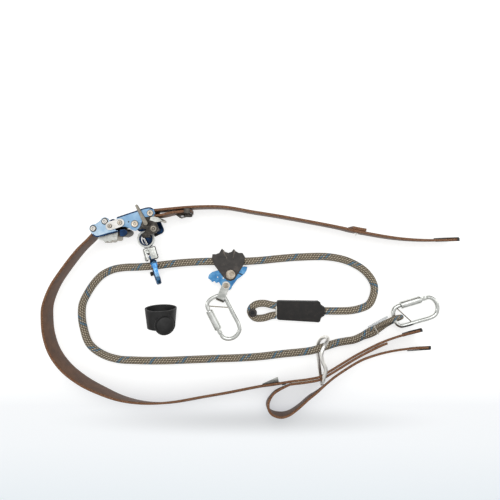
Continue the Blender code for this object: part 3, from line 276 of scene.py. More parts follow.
# each finish: the function that draws it, its name, and what else that function is given
RECIPES = {
    "webbing": (coated_webbing, "dipped polyester webbing"),
    "rope": (braided_rope, "plaited polyester rope"),
    "textile": (woven_tape, "black woven polyester tape"),
    "film": (clear_film, "clear polyethylene film"),
    # vinyl-dipped webbing end: matt black, a little grey where it rubs
    "tip": (moulding, "dipped vinyl", "#0F0E0E", "#1B1A19", "#383532", 0.45, 500.0, 0.15),
    # anodised aluminium keeps most of the metal's gloss under a tinted oxide
    "sky": (metal, "light blue anodised aluminium", "#8FB6D8", "#ABC9E2", "#CDE1EF", 0.34, 0.7),
    # cheek is the sky aluminium made darker in broad patches: painted shade over the front channel, placed at random
    "cheek": (metal, "blue anodised cheek", "#557CA3", "#86AED2", "#B4D3EA", 0.3, 0.7, 22.0),
    # navy is the light blue anodising darkened: painted shade and painted dark reflection on sides, edges and low parts
    "navy": (metal, "dark blue anodised aluminium", "#0D2038", "#17355C", "#2B5688", 0.35, 0.7),
    "deep": (metal, "bright blue anodised aluminium", "#2E6EAB", "#5597CC", "#8CC0E4", 0.3, 0.7),
    "hook": (metal, "blue anodised forging", "#1A466F", "#3A709F", "#8DB3CF", 0.22, 0.75, 45.0),
    "zinc": (metal, "zinc plated steel", "#DAD8D2", "#EBE9E4", "#F8F7F3", 0.32),
    "brushed": (metal, "brushed stainless steel", "#A7A9A5", "#C6C8C3", "#E6E7E3", 0.38, 1.0, 90.0, 700.0, 0.25),
    "polished": (metal, "polished steel bar", "#C2C4C0", "#D6D8D4", "#EBECE9", 0.27, 1.0, 20.0, 1400.0, 0.03),
    "satin": (metal, "satin turned steel", "#C4C6C1", "#DCDEDA", "#EFF0ED", 0.3, 1.0, 40.0),
    "phosphate": (metal, "phosphated steel", "#2B2926", "#45423E", "#6B6660", 0.42, 1.0, 80.0),
    "lever": (metal, "burnished steel lever", "#6F6A61", "#928C80", "#BAB3A5", 0.34, 1.0, 70.0),
    "copper": (metal, "copper rivet", "#A5633C", "#C98A5E", "#E8B48C", 0.3, 1.0, 120.0),
    "worn": (metal, "handled steel rivet", "#857A6B", "#B0A595", "#D6CCBE", 0.42, 1.0, 140.0),
    "rivet": (metal, "steel rivet in worn paint", "#B3A48F", "#D6CBBB", "#F2EBDF", 0.42, 1.0, 140.0),
    "nylon": (moulding, "moulded black nylon", "#1F1B19", "#332E2A", "#574F49", 0.42),
    # ridge is the cover's black nylon made paler: painted highlight along the ridges' crowns
    "ridge": (moulding, "worn nylon ridge", "#4A433D", "#6E655C", "#8E857B", 0.4),
    "rubber": (moulding, "moulded rubber", "#0B0B0B", "#161616", "#2B2A2A", 0.55, 600.0),
    "thread": (moulding, "bonded nylon thread", "#B5AFA2", "#D8D4CA", "#F0EDE6", 0.7, 1500.0, 0.3),
    "liner": (moulding, "white wear liner", "#BDB8AD", "#DAD6CD", "#F2F0EA", 0.7, 700.0, 0.3),
}
MADE = {}


def stuff(key):
    """Each finish, made the first time a piece asks for it."""
    if key not in MADE:
        draw, name, *given = RECIPES[key]
        MADE[key], shader, node = fresh(name)
        fill(shader, draw(node, node("TexCoord", out=3), *given))
    return MADE[key]


# ---------------------------------------------------------------- routes, the same points as the solids follow

STRAP_W = 48.0
STRAP_T = 5.0
STITCH_GAP = 0.8
SEAT = 0.3
# below DEEP the side finish covers every face, as painted shade
DEEP = 16.0  # below this height no light reaches a plate under its twin
SHARP_EDGE = 32.0  # from this angle on an edge of a solid is eased
STRAP_LOW = 7.9
OUTER_ROUTE = [
    (-226, 205, STRAP_LOW, 0), (-263, 193.4, STRAP_LOW, 0), (-293.2, 184.2, STRAP_LOW, 0),
    (-316.6, 169.6, STRAP_LOW, 0), (-334, 152, STRAP_LOW, 0), (-357, 130, 6, 0), (-390, 90, 2, 0),
    (-415, 53, 0, 0), (-430, 13, 0, 0), (-431.5, -12, 0, 0), (-428, -50, 0, 0), (-415, -88, 0, 0),
    (-390, -122, 0, 0), (-352, -151, 0, 1), (-312, -170, 0, 4), (-273, -183, 0, 9), (-233, -189, 0, 14),
    (-194, -189.5, 0, 17), (-155, -186, 0, 17), (-102, -176.5, 0, 17), (-50, -167.5, 0, 17),
    (20, -153.5, 1, 17), (51, -148.5, 3, 17), (86, -142, 6, 16.5), (118, -137, 9, 16.5), (143, -131.5, 9.5, 17),
    (166, -118.5, 9.5, 17), (218, -88.5, 6, 16.7), (260, -68.6, 2, 16), (281, -60.2, 0, 15.5), (315, -48.8, 0, 14.7),
    (355, -38.4, 0, 14),
]
LOOP_ROUTE = [
    (68, -151, 3, -15), (46, -166.5, 0, -12), (35.4, -187, 0, -6), (37, -203, 0, 3), (45, -213, 0, 8),
    (63, -219, 0, 7.6), (80, -215, 0, 9.5), (100, -201, 0, 11), (121, -180, 4, 12), (138, -164.5, 7, 15),
    (152, -151, 8, 17), (174, -132.5, 8, 17.3), (222, -103, 5, 17), (244, -94.4, 2, 16), (284, -83.5, 0, 15),
    (326, -77, 0, 13.5), (372, -74, 0, 12.5),
]
FOLD_X, STITCH_END_X = 80.0, 283.0
P_FRONT = (-202.7, 203.9)
WRAP_R = 8.3
TOP_ROUTE = [
    (430.5, 153, 0, 0), (370, 151.5, 0, 0), (308, 155.6, 0, 0), (238.5, 167, 0, 0), (209.7, 172.5, 0, 0),
    (195, 176.5, 0, 0), (72, 200, 0, 0), (7.6, 210.5, 0, 0), (-51, 220.4, 0, 0), (-90, 221.4, 2, 0),
    (-124, 219.8, 5, 0), (-144, 218.1, 6.5, 0),
]
WRAP = [
    (P_FRONT[0] + WRAP_R * math.cos(math.radians(96 + 15 * k)),
     P_FRONT[1] + WRAP_R * math.sin(math.radians(96 + 15 * k)), STRAP_LOW, 0)
    for k in range(13)
]
RETURN_ROUTE = [
    WRAP[-1], (-180, 198.4, 8, 0), (-160, 203.2, 7, 0), (-140, 205.8, 6, 0), (-121.5, 207.3, 5.5, 0),
]
ROPE_D = 16.0
ROPE_ROUTE = [
    (243.5, -55.4, 9.3), (224, -64.1, 9.2), (204, -67.5, 9.4), (185, -70.5, 12), (159, -77.5, 16.2),
    (131, -86, 15.8), (105, -90.5, 11.5), (76, -94, 8.6), (21.5, -100.4, 8.3), (-24.5, -103.4, 8.3),
    (-80, -105.3, 8.3), (-134, -107.5, 8.3), (-189, -109.4, 8.3), (-244, -108.8, 8.3), (-285, -106, 8.3),
    (-318, -95, 8.3), (-345.5, -73, 8.3), (-359, -34, 8.3), (-362, -10, 8.3), (-360, 13, 8.3),
    (-351, 33, 8.3), (-335.5, 57, 8.3), (-318, 75, 8.3), (-295, 86.5, 8.3), (-271, 91, 10.5), (-240, 92.5, 17.5),
    (-204, 95, 22.8), (-175, 98.5, 20), (-140, 101.8, 15), (-97, 104, 13.5), (-50, 104.2, 13.5),
    (-11, 104.6, 13.5), (25, 106.5, 10), (64.5, 110.4, 8.4), (107.5, 113.6, 8.3), (172, 113.6, 8.3),
    (215, 103, 8.3), (250.5, 80, 8.3), (267.5, 50, 8.3), (262, 21.2, 8.3), (254, 10.4, 8.4), (234.5, 2.2, 9),
    (214, -1.4, 10.5), (193.6, -1.9, 11.8), (160.3, -1.8, 12),
]
EYE_B_D = 10.0
EYE_B_ROUTE = [
    (254.4, -44.6, 9), (262, -41.1, 9.4), (272, -35, 11.4), (286, -26.4, 18), (298, -19, 24), (309, -14, 25.4),
    (319.5, -13, 22), (322.5, -15, 15), (318, -19.6, 7.4), (308, -25, 5.4), (294, -32.6, 5.4), (280, -42, 6.5),
    (267, -50.6, 8.6), (259, -54.4, 9),
]
EYE_A_D = 15.4
EYE_A_ROUTE = [
    (55.5, 9.8, 12), (47, 10.8, 11.9), (30, 14.2, 9.6), (14, 12.2, 8.4), (4, 5.4, 8.3),
    (0.8, -2.2, 8.3), (3.6, -10.6, 8.3), (12, -17.4, 8.4), (28, -17.4, 9.6), (46, -11.8, 11.9),
    (55.5, -10.4, 12),
]


# ---------------------------------------------------------------- shaping

def running(line):
    """The length run up to every station."""
    run = [0.0]
    for a, b in zip(line, line[1:]):
        run.append(run[-1] + (b.xyz - a.xyz).length)
    return run


def smooth_line(points, step):
    """Points every step mm on a centripetal curve through the given ones; extra values are carried along."""
    pts = [Vector(p) for p in points]
    pts = [pts[0] * 2 - pts[1], *pts, pts[-1] * 2 - pts[-2]]
    dense = []
    for p0, p1, p2, p3 in zip(pts, pts[1:], pts[2:], pts[3:]):
        t1 = max((p1.xyz - p0.xyz).length, 1e-6) ** 0.5
        t2 = t1 + max((p2.xyz - p1.xyz).length, 1e-6) ** 0.5
        t3 = t2 + max((p3.xyz - p2.xyz).length, 1e-6) ** 0.5
        for k in range(16):
            t = t1 + (t2 - t1) * k / 16
            a1 = p0 * ((t1 - t) / t1) + p1 * (t / t1)
            a2 = p1 * ((t2 - t) / (t2 - t1)) + p2 * ((t - t1) / (t2 - t1))
            a3 = p2 * ((t3 - t) / (t3 - t2)) + p3 * ((t - t2) / (t3 - t2))
            b1 = a1 * ((t2 - t) / t2) + a2 * (t / t2)
            b2 = a2 * ((t3 - t) / (t3 - t1)) + a3 * ((t - t1) / (t3 - t1))
            dense.append(b1 * ((t2 - t) / (t2 - t1)) + b2 * ((t - t1) / (t2 - t1)))
    dense.append(pts[-2].copy())
    run = running(dense)
    count = max(2, round(run[-1] / step))
    out, k = [], 0
    for i in range(count + 1):
        s = run[-1] * i / count
        while k + 2 < len(run) and run[k + 1] < s:
            k += 1
        f = (s - run[k]) / max(run[k + 1] - run[k], 1e-9)
        out.append(dense[k].lerp(dense[k + 1], min(max(f, 0.0), 1.0)))
    return out


def lefts(line):
    """The level left-hand direction at every station."""
    out = []
    for i in range(len(line)):
        a, b = line[max(i - 1, 0)], line[min(i + 1, len(line) - 1)]
        way = Vector((b.x - a.x, b.y - a.y)).normalized()
        out.append(Vector((-way.y, way.x)))
    return out


def frames_along(line):
    """A steady pair of cross directions at every station of a line."""
    out, side = [], None
    for i in range(len(line)):
        way = (line[min(i + 1, len(line) - 1)].xyz - line[max(i - 1, 0)].xyz).normalized()
        side = (Vector((0, 0, 1)).cross(way) if side is None else side - way * side.dot(way)).normalized()
        out.append((side.copy(), way.cross(side).normalized()))
    return out


def beside(line, by):
    """A line moved by mm to its left."""
    return [Vector((p.x + n.x * by, p.y + n.y * by, p.z, p.w)) for p, n in zip(line, lefts(line))]


def within(line, low, high):
    """The stations of a line whose x lies between two values."""
    return [p for p in line if low <= p.x <= high]


def show(name, data):
    """A new object in the scene."""
    made = bpy.data.objects.new(name, data)
    bpy.context.scene.collection.objects.link(made)
    return made


def poured(name, bm):
    """A bmesh turned into a mesh."""
    mesh = bpy.data.meshes.new(name)
    bm.to_mesh(mesh)
    bm.free()
    return mesh


def piece(name, bm, finish, body="restrictor", slot=None, nodes=(), sharp=40.0, recalc=True):
    """A finished bmesh as an object at the origin that rides on its body and stands for its solids."""
    if recalc:
        bmesh.ops.recalc_face_normals(bm, faces=bm.faces)
    mesh = poured(name, bm)
    made = show(name, mesh)
    mesh.materials.append(stuff(finish))
    mesh.shade_smooth()
    mesh.set_sharp_from_angle(angle=math.radians(sharp))
    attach(made, body)
    if nodes:
        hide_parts(*nodes)
    return made


def straight_bar(section, cuts):
    """A section drawn at z = 0, pushed out to z = 1 and cut across into even lengths."""
    bm = bmesh.new()
    face = bm.faces.new([bm.verts.new((x, y, 0)) for x, y in section])
    pushed = bmesh.ops.extrude_face_region(bm, geom=[face])
    bmesh.ops.translate(bm, verts=[v for v in pushed["geom"] if isinstance(v, bmesh.types.BMVert)], vec=(0, 0, 1))
    long_edges = [e for e in bm.edges if abs(e.verts[0].co.z - e.verts[1].co.z) > 0.5]
    bmesh.ops.subdivide_edges(bm, edges=long_edges, cuts=cuts - 1)
    return bm


def laid(section, count, place, notes=lambda i, x, y: (0, 0, 0)):
    """A section run along count + 1 stations: place(i, x, y) gives a point in mm, notes(i, x, y) its lay values."""
    bm = straight_bar(section, count)
    layer = bm.verts.layers.float_vector.new("lay")
    for v in bm.verts:
        i = min(int(round(v.co.z * count)), count)
        x, y = v.co.x, v.co.y
        v[layer] = notes(i, x, y)
        v.co = Vector(place(i, x, y)) * MM
    return bm


def circle(r, sides):
    """The corners of a round section."""
    return [(r * math.cos(CIRCLE * k / sides), r * math.sin(CIRCLE * k / sides)) for k in range(sides)]


def rounded(width, height, r, groove=0.0, steps=3):
    """A rectangle from (0, 0) with rounded corners and a shallow groove along the middle of its short edges."""
    pts = []
    for cx, cy, start in ((width - r, r, -90), (width - r, height - r, 0), (r, height - r, 90), (r, r, 180)):
        for k in range(steps + 1):
            a = math.radians(start + 90 * k / steps)
            pts.append((cx + r * math.cos(a), cy + r * math.sin(a)))
        if groove and start in (0, 180):
            pts.append((width / 2, height - groove if start == 0 else groove))
    return pts


def webbing(name, line, near=0.0, thick=STRAP_T, low=0.0, high=STRAP_W, finish="webbing", slot="coated_webbing",
            nodes=(), r=1.3, groove=0.45):
    """A strap on edge along a line of its top edge, with rounded, slightly grooved selvedges. It stands from near to
    near + thick on the line's left, and from low to high."""
    sides, run, tall = lefts(line), running(line), high - low

    def place(i, u, h):
        p, n = line[i], sides[i]
        off = near + u - p.w * (1 - (low + h) / STRAP_W)
        return p.x + n.x * off, p.y + n.y * off, p.z + low + h

    def notes(i, u, h):
        rim = 1.0 if h > tall - r * 0.9 or h < r * 0.9 else 0.0
        return run[i] * MM, h * MM, rim

    bm = laid(rounded(thick, tall, r, groove), len(line) - 1, place, notes)
    return piece(name, bm, finish, slot=slot, nodes=nodes, sharp=50)


def trim(name, line, near, thick, low, high, r, finish="tip", slot="black_tip", nodes=()):
    """A plain flat layer or end on a strap."""
    return webbing(name, line, near, thick, low, high, finish, slot, nodes, r, 0)


def spun(bm, profile, at=(0, 0, 0), toward=(0, 0, 1), steps=32):
    """A profile of (radius, height) in mm spun into a solid about a direction, added to a bmesh."""
    rim = [bm.verts.new((r, 0, h)) for r, h in profile]
    edges = [bm.edges.new(pair) for pair in zip(rim, rim[1:])]
    if profile[0][0] > 1e-6 and profile[-1][0] > 1e-6:
        edges.append(bm.edges.new((rim[-1], rim[0])))
    made = bmesh.ops.spin(
        bm, geom=rim + edges, cent=(0, 0, 0), axis=(0, 0, 1), angle=CIRCLE, steps=steps, use_merge=True
    )
    reach = set(rim) | {v for v in made["geom_last"] if isinstance(v, bmesh.types.BMVert)}
    while True:
        more = {e.other_vert(v) for v in reach for e in v.link_edges} - reach
        if not more:
            break
        reach |= more
    bmesh.ops.remove_doubles(bm, verts=list(reach), dist=1e-4)
    reach = [v for v in reach if v.is_valid]
    spin = Vector((0, 0, 1)).rotation_difference(Vector(toward).normalized()).to_matrix().to_4x4()
    bmesh.ops.transform(bm, matrix=Matrix.Scale(MM, 4) @ Matrix.Translation(Vector(at)) @ spin, verts=reach)


def ring(inner, outer, low, high):
    """The profile of a flat ring, or of a disc where inner is 0."""
    return [(inner, low), (outer, low), (outer, high), (inner, high)]


def block(bm, low, high, ease, place=None):
    """A box between two corners in mm with eased edges, added to a bmesh; place turns it afterwards."""
    size = [b - a for a, b in zip(low, high)]
    middle = [(a + b) / 2 for a, b in zip(low, high)]
    made = bmesh.ops.create_cube(bm, size=1.0)["verts"]
    bmesh.ops.scale(bm, verts=made, vec=size)
    bmesh.ops.translate(bm, verts=made, vec=middle)
    edges = list({e for v in made for e in v.link_edges})
    out = bmesh.ops.bevel(
        bm, geom=edges, offset=ease, offset_type="OFFSET", affect="EDGES", segments=2, profile=0.5,
        clamp_overlap=True, material=-1,
    )
    made = list({v for f in out["faces"] for v in f.verts} | {v for v in made if v.is_valid})
    bmesh.ops.transform(bm, matrix=(place or Matrix()) @ Matrix.Scale(MM, 4), verts=made)


def seat_at(at, turn):
    """A place in mm, turned about the vertical, as a matrix in metres."""
    return Matrix.Translation(Vector(at) * MM) @ Matrix.Rotation(math.radians(turn), 4, "Z")


def bar_along(bm, line, d, sides=24):
    """A round bar along a line of points in mm, with closed ends, added to a bmesh."""
    cross = frames_along(line)

    def place(i, x, y):
        u, w = cross[i]
        return line[i].xyz + u * x + w * y

    mesh = poured("bar", laid(circle(d / 2, sides), len(line) - 1, place))
    bm.from_mesh(mesh)
    bpy.data.meshes.remove(mesh)


def rope_along(name, line, d, node, sides):
    """A length of the khaki rope along a line of points in mm, ends closed: the object, and its length in metres."""
    cross, run = frames_along(line), running(line)

    def place(i, x, y):
        p, (u, w) = line[i], cross[i]
        return p.xyz + (u * x + w * y)

    def notes(i, x, y):
        length = math.hypot(x, y)
        return run[i] * MM, x / length, y / length

    bm = laid(circle(d / 2, sides), len(line) - 1, place, notes)
    return piece(name, bm, "rope", slot="khaki_rope", nodes=(node,), sharp=70), run[-1] * MM


def clean_copy(node, finish, ease, side=None, slot=None, segments=2, name=None):
    """A solid's merged copy with eased edges and smooth shading, in its solid's place. A side finish goes on its
    upright faces, its eased edges and all that lies deeper than DEEP: a darker finish, as painted shade."""
    bm = bmesh.new()
    bm.from_mesh(bpy.data.objects[node].data)
    bmesh.ops.remove_doubles(bm, verts=bm.verts, dist=2e-6)
    bmesh.ops.dissolve_limit(
        bm, angle_limit=math.radians(1.0), use_dissolve_boundaries=False, verts=bm.verts, edges=bm.edges
    )
    made = piece(
        name or node + "_finished", bm, finish, BODY_OF[node], slot, (node,), sharp=SHARP_EDGE, recalc=False
    )
    if side:
        # the side finish is painted shade: on upright faces and on everything below DEEP
        made.data.materials.append(stuff(side))
        for face in made.data.polygons:
            face.material_index = int(abs(face.normal.z) < 0.6 or face.center.z < DEEP * MM)
    if ease:
        edge = made.modifiers.new("eased edges", "BEVEL")
        edge.material = 1 if side else -1
        edge.width = ease * MM
        edge.segments = segments
        edge.limit_method = "ANGLE"
        edge.angle_limit = math.radians(SHARP_EDGE)
        edge.use_clamp_overlap = True
        edge.harden_normals = True
    return made


def extra(name, shape, finish, body="restrictor", slot="polished_steel", sharp=35.0, nodes=()):
    """A small added piece whose shape is drawn into a fresh bmesh by a function."""
    bm = bmesh.new()
    shape(bm)
    return piece(name, bm, finish, body, slot, nodes, sharp)


def turned(name, profile, at, finish, body="restrictor", slot="polished_steel", steps=32, nodes=()):
    """A small added piece spun about the vertical at a place in mm."""
    return extra(name, lambda bm: spun(bm, profile, at, steps=steps), finish, body, slot, nodes=nodes)


def rod(name, points, d, finish, body="restrictor", slot="polished_steel", sharp=35.0, step=2.0, sides=12):
    """A small added round bar along a curve through points in mm."""
    line = smooth_line(points, step)
    return extra(name, lambda bm: bar_along(bm, line, d, sides), finish, body, slot, sharp)


# ---------------------------------------------------------------- sizes and lights that a user would change

class WebbingLook(bpy.types.PropertyGroup):
    step: FloatProperty(
        name="Station spacing", description="Distance between cross-sections of the webbing, in millimetres",
        default=4.0, min=1.0, max=12.0,
    )
    groove: FloatProperty(
        name="Selvedge groove", description="Depth of the groove along each edge, in millimetres",
        default=0.45, min=0.0, max=1.0,
    )


class RopeLook(bpy.types.PropertyGroup):
    diameter: FloatProperty(
        name="Rope diameter", description="Outside diameter of the lanyard rope, in millimetres",
        default=ROPE_D, min=10.0, max=18.0,
    )
    sides: IntProperty(name="Sides", description="Facets round the rope", default=28, min=12, max=48)


class MetalLook(bpy.types.PropertyGroup):
    eased: FloatProperty(
        name="Edge wear", default=1.0, min=0.0, max=2.0, subtype="FACTOR",
        description="How far tumbling and handling have rounded cut edges, as a share of each piece's own radius",
    )


class StageLook(bpy.types.PropertyGroup):
    key: FloatProperty(
        name="Lights", description="Power of the overhead softbox, which the two strips follow",
        default=9.0, min=0.0, subtype="POWER",
    )
    world: FloatProperty(
        name="Room light", description="Strength of the light from all round", default=0.75, min=0.0
    )


# ---------------------------------------------------------------- one operator for each group of pieces

TABLE = "#B8B8B6"
TABLE_REACH = 6.0
TABLE_DROP = 0.0003
FLOOR_GLOW = 0.7
# painted shade on the white table: its glow turns pale grey blue from here to its front edge
FADE_Y = (-0.42, 0.0)
FLOOR_FADE = ((0.0, "#C2CDD6"), (0.3, "#D3D8DE"), (0.5, "#D6D9DE"), (0.75, "#FFFFFF"))
# a painted soft grey shadow lies along the front of the object: its middle and its reach to each side
PATCH = "#8C9097"
PATCH_Y = -0.243
PATCH_REACH = (0.46, 0.04)
ROOM = ((0.0, "#3C3C3C"), (0.22, "#5E5E5E"), (0.5, "#FFFFFF"))
# each light: its place, its share of the key power, its width and its depth
LIGHTS = {
    "overhead softbox": ((0.1, 0.75, 1.5), 1.0, 1.2, 0.8),
    "left strip": ((-1.5, 0.1, 0.8), 0.35, 0.3, 1.4),
    "right strip": ((1.5, 0.3, 0.8), 0.3, 0.3, 1.4),
}
CAMERA_AT = (0, 0.133, 0.911)
LENS = 30.2
SENSOR = 36.0
SHIFT_Y = -0.004


class RESTRICTOR_OT_stage(bpy.types.Operator):
    """White table, overhead softbox, two strip lights and the camera straight above"""
    bl_idname = "restrictor.stage"
    bl_label = "Stage"

    def execute(self, context):
        look = context.scene.restrictor_stage
        bm = bmesh.new()
        bmesh.ops.create_grid(bm, x_segments=1, y_segments=1, size=TABLE_REACH)
        bmesh.ops.translate(bm, verts=bm.verts, vec=(0, 0, SOLID_BOX[0][2] - TABLE_DROP))
        table = show("table", poured("table", bm))
        mat, shader, node = fresh("white laminate table")
        fill(shader, {"Base Color": linear(TABLE), "Roughness": 0.6})
        camera_ray, glossy_ray = (node("LightPath", out=f"Is {kind} Ray") for kind in ("Camera", "Glossy"))
        seen = node("Math", (camera_ray, glossy_ray), "MAXIMUM")
        where = node("TexCoord", out=3)
        ahead = node("SeparateXYZ", (where,), out=1)
        depth = node("MapRange", {"Value": ahead, "From Min": FADE_Y[0], "From Max": FADE_Y[1]})
        tone = node("ValToRGB", {"Fac": depth}, stops=FLOOR_FADE)
        # the painted shadow: a soft grey oval in the table's glow along the front of the object
        spot = node("Mapping", {
            "Vector": where, "Location": (0.0, -PATCH_Y / PATCH_REACH[1], 0.0),
            "Scale": (1 / PATCH_REACH[0], 1 / PATCH_REACH[1], 0.0),
        })
        shade = node("TexGradient", {"Vector": spot}, out=1, gradient_type="SPHERICAL")
        shade = node("MapRange", {"Value": shade, "To Max": 0.8}, interpolation_type="SMOOTHSTEP")
        tone = node("Mix", {0: shade, 6: tone, 7: linear(PATCH)}, **COLOURS)
        power = node("Math", (seen, FLOOR_GLOW), "MULTIPLY")
        glow = node("Emission", {"Color": tone, "Strength": power})
        both = node("AddShader", (shader.outputs[0], glow))
        fill(mat.node_tree.nodes["Material Output"], {"Surface": both})
        table.data.materials.append(mat)

        world = bpy.data.worlds.new("studio")
        context.scene.world = world
        world.use_nodes = True
        node = partial(add, world.node_tree)
        above = node("SeparateXYZ", (node("TexCoord"),), out=2)
        room = node("ValToRGB", {"Fac": above}, stops=ROOM)
        fill(world.node_tree.nodes["Background"], {"Color": room, "Strength": look.world})

        for name, (at, share, width, depth) in LIGHTS.items():
            data = bpy.data.lights.new(name, "AREA")
            data.shape = "RECTANGLE"
            data.size, data.size_y = width, depth
            data.energy = look.key * share
            aim = Vector(at).to_track_quat("Z", "Y").to_matrix().to_4x4()
            show(name, data).matrix_world = Matrix.Translation(at) @ aim

        data = bpy.data.cameras.new("camera")
        data.lens = LENS
        data.sensor_width = SENSOR
        data.sensor_fit = "HORIZONTAL"
        data.shift_y = SHIFT_Y
        data.clip_start = 0.01
        camera = show("camera", data)
        camera.matrix_world = Matrix.Translation(CAMERA_AT)
        context.scene.camera = camera
        context.scene.view_settings.view_transform = "Standard"
        return {"FINISHED"}


TIP_T = 2.2
SHEATH_T = 0.7
CAP_WALL = 0.75
CAP_PAST = 0.6
STOP_T = 6.0
# layers on the outer strap: their x from and to, distance to the left, thickness, foot, height over the strap, corner
# radius, finish and slot
LAYERS = {
    "fold_liner": (84, 140, -0.75, 0.7, 1, 0.5, 0.3, "liner", "coated_webbing"),
    "fold_mark": (62, 76, -1.7, 1.5, 2, 0.3, 0.4, "tip", "black_tip"),
    "wedge_footing": (24, 62, STRAP_T + 0.02, 0.75, 5, 0.4, 0.3, "tip", "black_tip"),
}


class RESTRICTOR_OT_webbing(bpy.types.Operator):
    """The three straps on edge, their ends, the stop block and the layers on the outer strap"""
    bl_idname = "restrictor.webbing"
    bl_label = "Webbing"

    def execute(self, context):
        look = context.scene.restrictor_webbing
        outer = smooth_line(OUTER_ROUTE, look.step)
        webbing("outer_webbing", outer, nodes=("strap_outer",), groove=look.groove)
        sewn = within(beside(outer, -STITCH_GAP), FOLD_X, STITCH_END_X)
        first = [Vector((p.x, p.y, p.z, -p.w)) for p in reversed(sewn)]
        loop = smooth_line([tuple(first[-1])] + LOOP_ROUTE, look.step)
        webbing("inner_webbing", first + loop[1:], nodes=("strap_inner",), groove=look.groove)
        top = smooth_line(TOP_ROUTE + [WRAP[0]], look.step)
        back = smooth_line(RETURN_ROUTE, look.step)
        wrap = smooth_line(WRAP, look.step * 0.6)
        webbing("top_webbing", top[:-1] + wrap + back[1:], nodes=("strap_top",), groove=look.groove)
        # each end: its line, the x where its tip starts and a limit past its end, and the sides of tip and sheath
        right = -SEAT - TIP_T
        ends = {
            "upper_tail": (outer, 326, 400, STRAP_T + SEAT, -SHEATH_T),
            "lower_tail": (loop, 340, 400, right, STRAP_T),
            "top_strap": (top, 398, 440, right, STRAP_T),
        }
        for name, (line, start, stop, near, _) in ends.items():
            tip = within(line, start, stop)
            trim(f"{name}_tip", tip, near, TIP_T, 1, STRAP_W - 1, 0.7, nodes=(f"tip_{name}",))
        for name, (line, start, stop, _, near) in ends.items():
            trim(f"{name}_sheath", within(line, start + 1, stop), near, SHEATH_T, 0.6, STRAP_W - 0.6, 0.3)
        for name, (line, *_) in ends.items():
            end, inner = (0, 1) if name == "top_strap" else (1, 0)
            cap = [p.copy() for p in (line[-2:] if end else line[:2])]
            past = (cap[end].xyz - cap[inner].xyz).normalized() * CAP_PAST
            cap[end] = Vector((*(cap[end].xyz + past), cap[end].w))
            trim(f"{name}_cap", cap, -CAP_WALL, STRAP_T + 2 * CAP_WALL, 0.3, STRAP_W + 0.4, 0.6)
        for name, (start, stop, near, thick, low, over, r, finish, slot) in LAYERS.items():
            trim(name, within(outer, start, stop), near, thick, low, STRAP_W + over, r, finish, slot)
        webbing("stop_pad", within(top, 208, 240), -SEAT - STOP_T, STOP_T, 1, STRAP_W - 1, nodes=("stop_block",), r=1.2)
        return {"FINISHED"}


# the sewn throat: places of its middle, and half its width and height there
THROAT = [
    (239.5, -57.2, 9.3, 8.0, 8.0), (244, -55.2, 9.3, 8.3, 7.9), (249, -52.9, 9.2, 9.3, 6.9),
    (254, -50.6, 9.1, 10.2, 5.8), (259, -48.4, 9.0, 10.5, 5.3), (263, -46.6, 9.0, 10.2, 4.9),
    (265.5, -45.4, 9.0, 8.0, 3.6),
]


def sewn_throat():
    """Where the rope's cover splits into the two legs of its end eye, spread flat and sewn through."""
    middle = [Vector(p[:3]) for p in THROAT]
    cross = frames_along(middle)

    def place(i, x, y):
        u, w = cross[i]
        return middle[i] + u * x * THROAT[i][3] + w * y * THROAT[i][4]

    bm = laid(circle(1, 28), len(THROAT) - 1, place, lambda i, x, y: ((middle[i] - middle[0]).length * MM, x, y))
    return piece("sewn_throat", bm, "rope", slot="khaki_rope", nodes=("eye_b_throat",), sharp=70)


FILM = [(252, -36.6), (258, -33.6), (265, -29.8), (272, -25.6), (279, -21.0), (286, -16.4), (292, -12.6)]
FILM_SECTION = [(-3.0, -0.15), (-1.6, -0.15), (0, -0.15), (1.6, -0.15), (3.0, -0.15), (3.0, 0.15), (-3.0, 0.15)]


def eye_film():
    """A scrap of clear wrapping film folded along the upper leg of the eye."""
    line = smooth_line([(x, y, 15.4 + 1.3 * i) for i, (x, y) in enumerate(FILM)], 1.5)
    cross = frames_along(line)

    def place(i, x, y):
        u, w = cross[i]
        pinch = 0.45 + 0.55 * math.sin(math.pi * (i + 2) / (len(line) + 4))
        ripple = 0.5 * math.sin(i * 0.9 + x) + 0.35 * math.sin(i * 0.37 - 1.7 * x) - 0.16 * x * x
        return line[i] + u * x * pinch + w * (y + ripple)

    return piece("eye_film", laid(FILM_SECTION, len(line) - 1, place), "film", slot="khaki_rope", sharp=80)


class RESTRICTOR_OT_rope(bpy.types.Operator):
    """The lanyard rope, its two end eyes with their fittings and the black sleeve"""
    bl_idname = "restrictor.rope"
    bl_label = "Rope"

    def execute(self, context):
        look = context.scene.restrictor_rope
        line = smooth_line(ROPE_ROUTE, 3.0)
        rope, length = rope_along("lanyard_rope", line, look.diameter, "rope_main", look.sides)
        eye_b, _ = rope_along("carabiner_eye", smooth_line(EYE_B_ROUTE, 2.5), EYE_B_D, "rope_eye_b", 24)
        eye_a, _ = rope_along("sleeve_eye", smooth_line(EYE_A_ROUTE, 2.5), EYE_A_D, "rope_eye_a", look.sides)
        throat = sewn_throat()
        sleeve = clean_copy("rope_sleeve", "textile", 2.0, slot="black_textile", name="textile_sleeve", segments=3)
        bushing = clean_copy("eye_bushing", "nylon", 0.5, slot="black_plastic", name="eye_bush")
        # a black disc in the bushing's hole: painted shade inside the hole
        hole = turned("eye_bush_hole", ring(0, 4.6, 16.0, 17.6), (5.6, -4.7, 0), "rubber", slot="black_plastic")
        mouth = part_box("rope_sleeve")[0][0] / MM
        tack = extra(
            "sleeve_tack", lambda bm: block(bm, (mouth - 2.2, -9, 3.5), (mouth + 0.4, 10, 19.5), 0.7), "thread",
            slot="black_textile",
        )
        across = seat_at((270, -42, 9.6), 29)
        bridge = extra(
            "eye_whipping", lambda bm: block(bm, (-1.3, -11.2, -4.6), (1.3, 11.2, 5.8), 1.2, across), "thread",
            slot="khaki_rope",
        )
        film = eye_film()
        tuple(c * MM for c in ROPE_ROUTE[0])
        return {"FINISHED"}
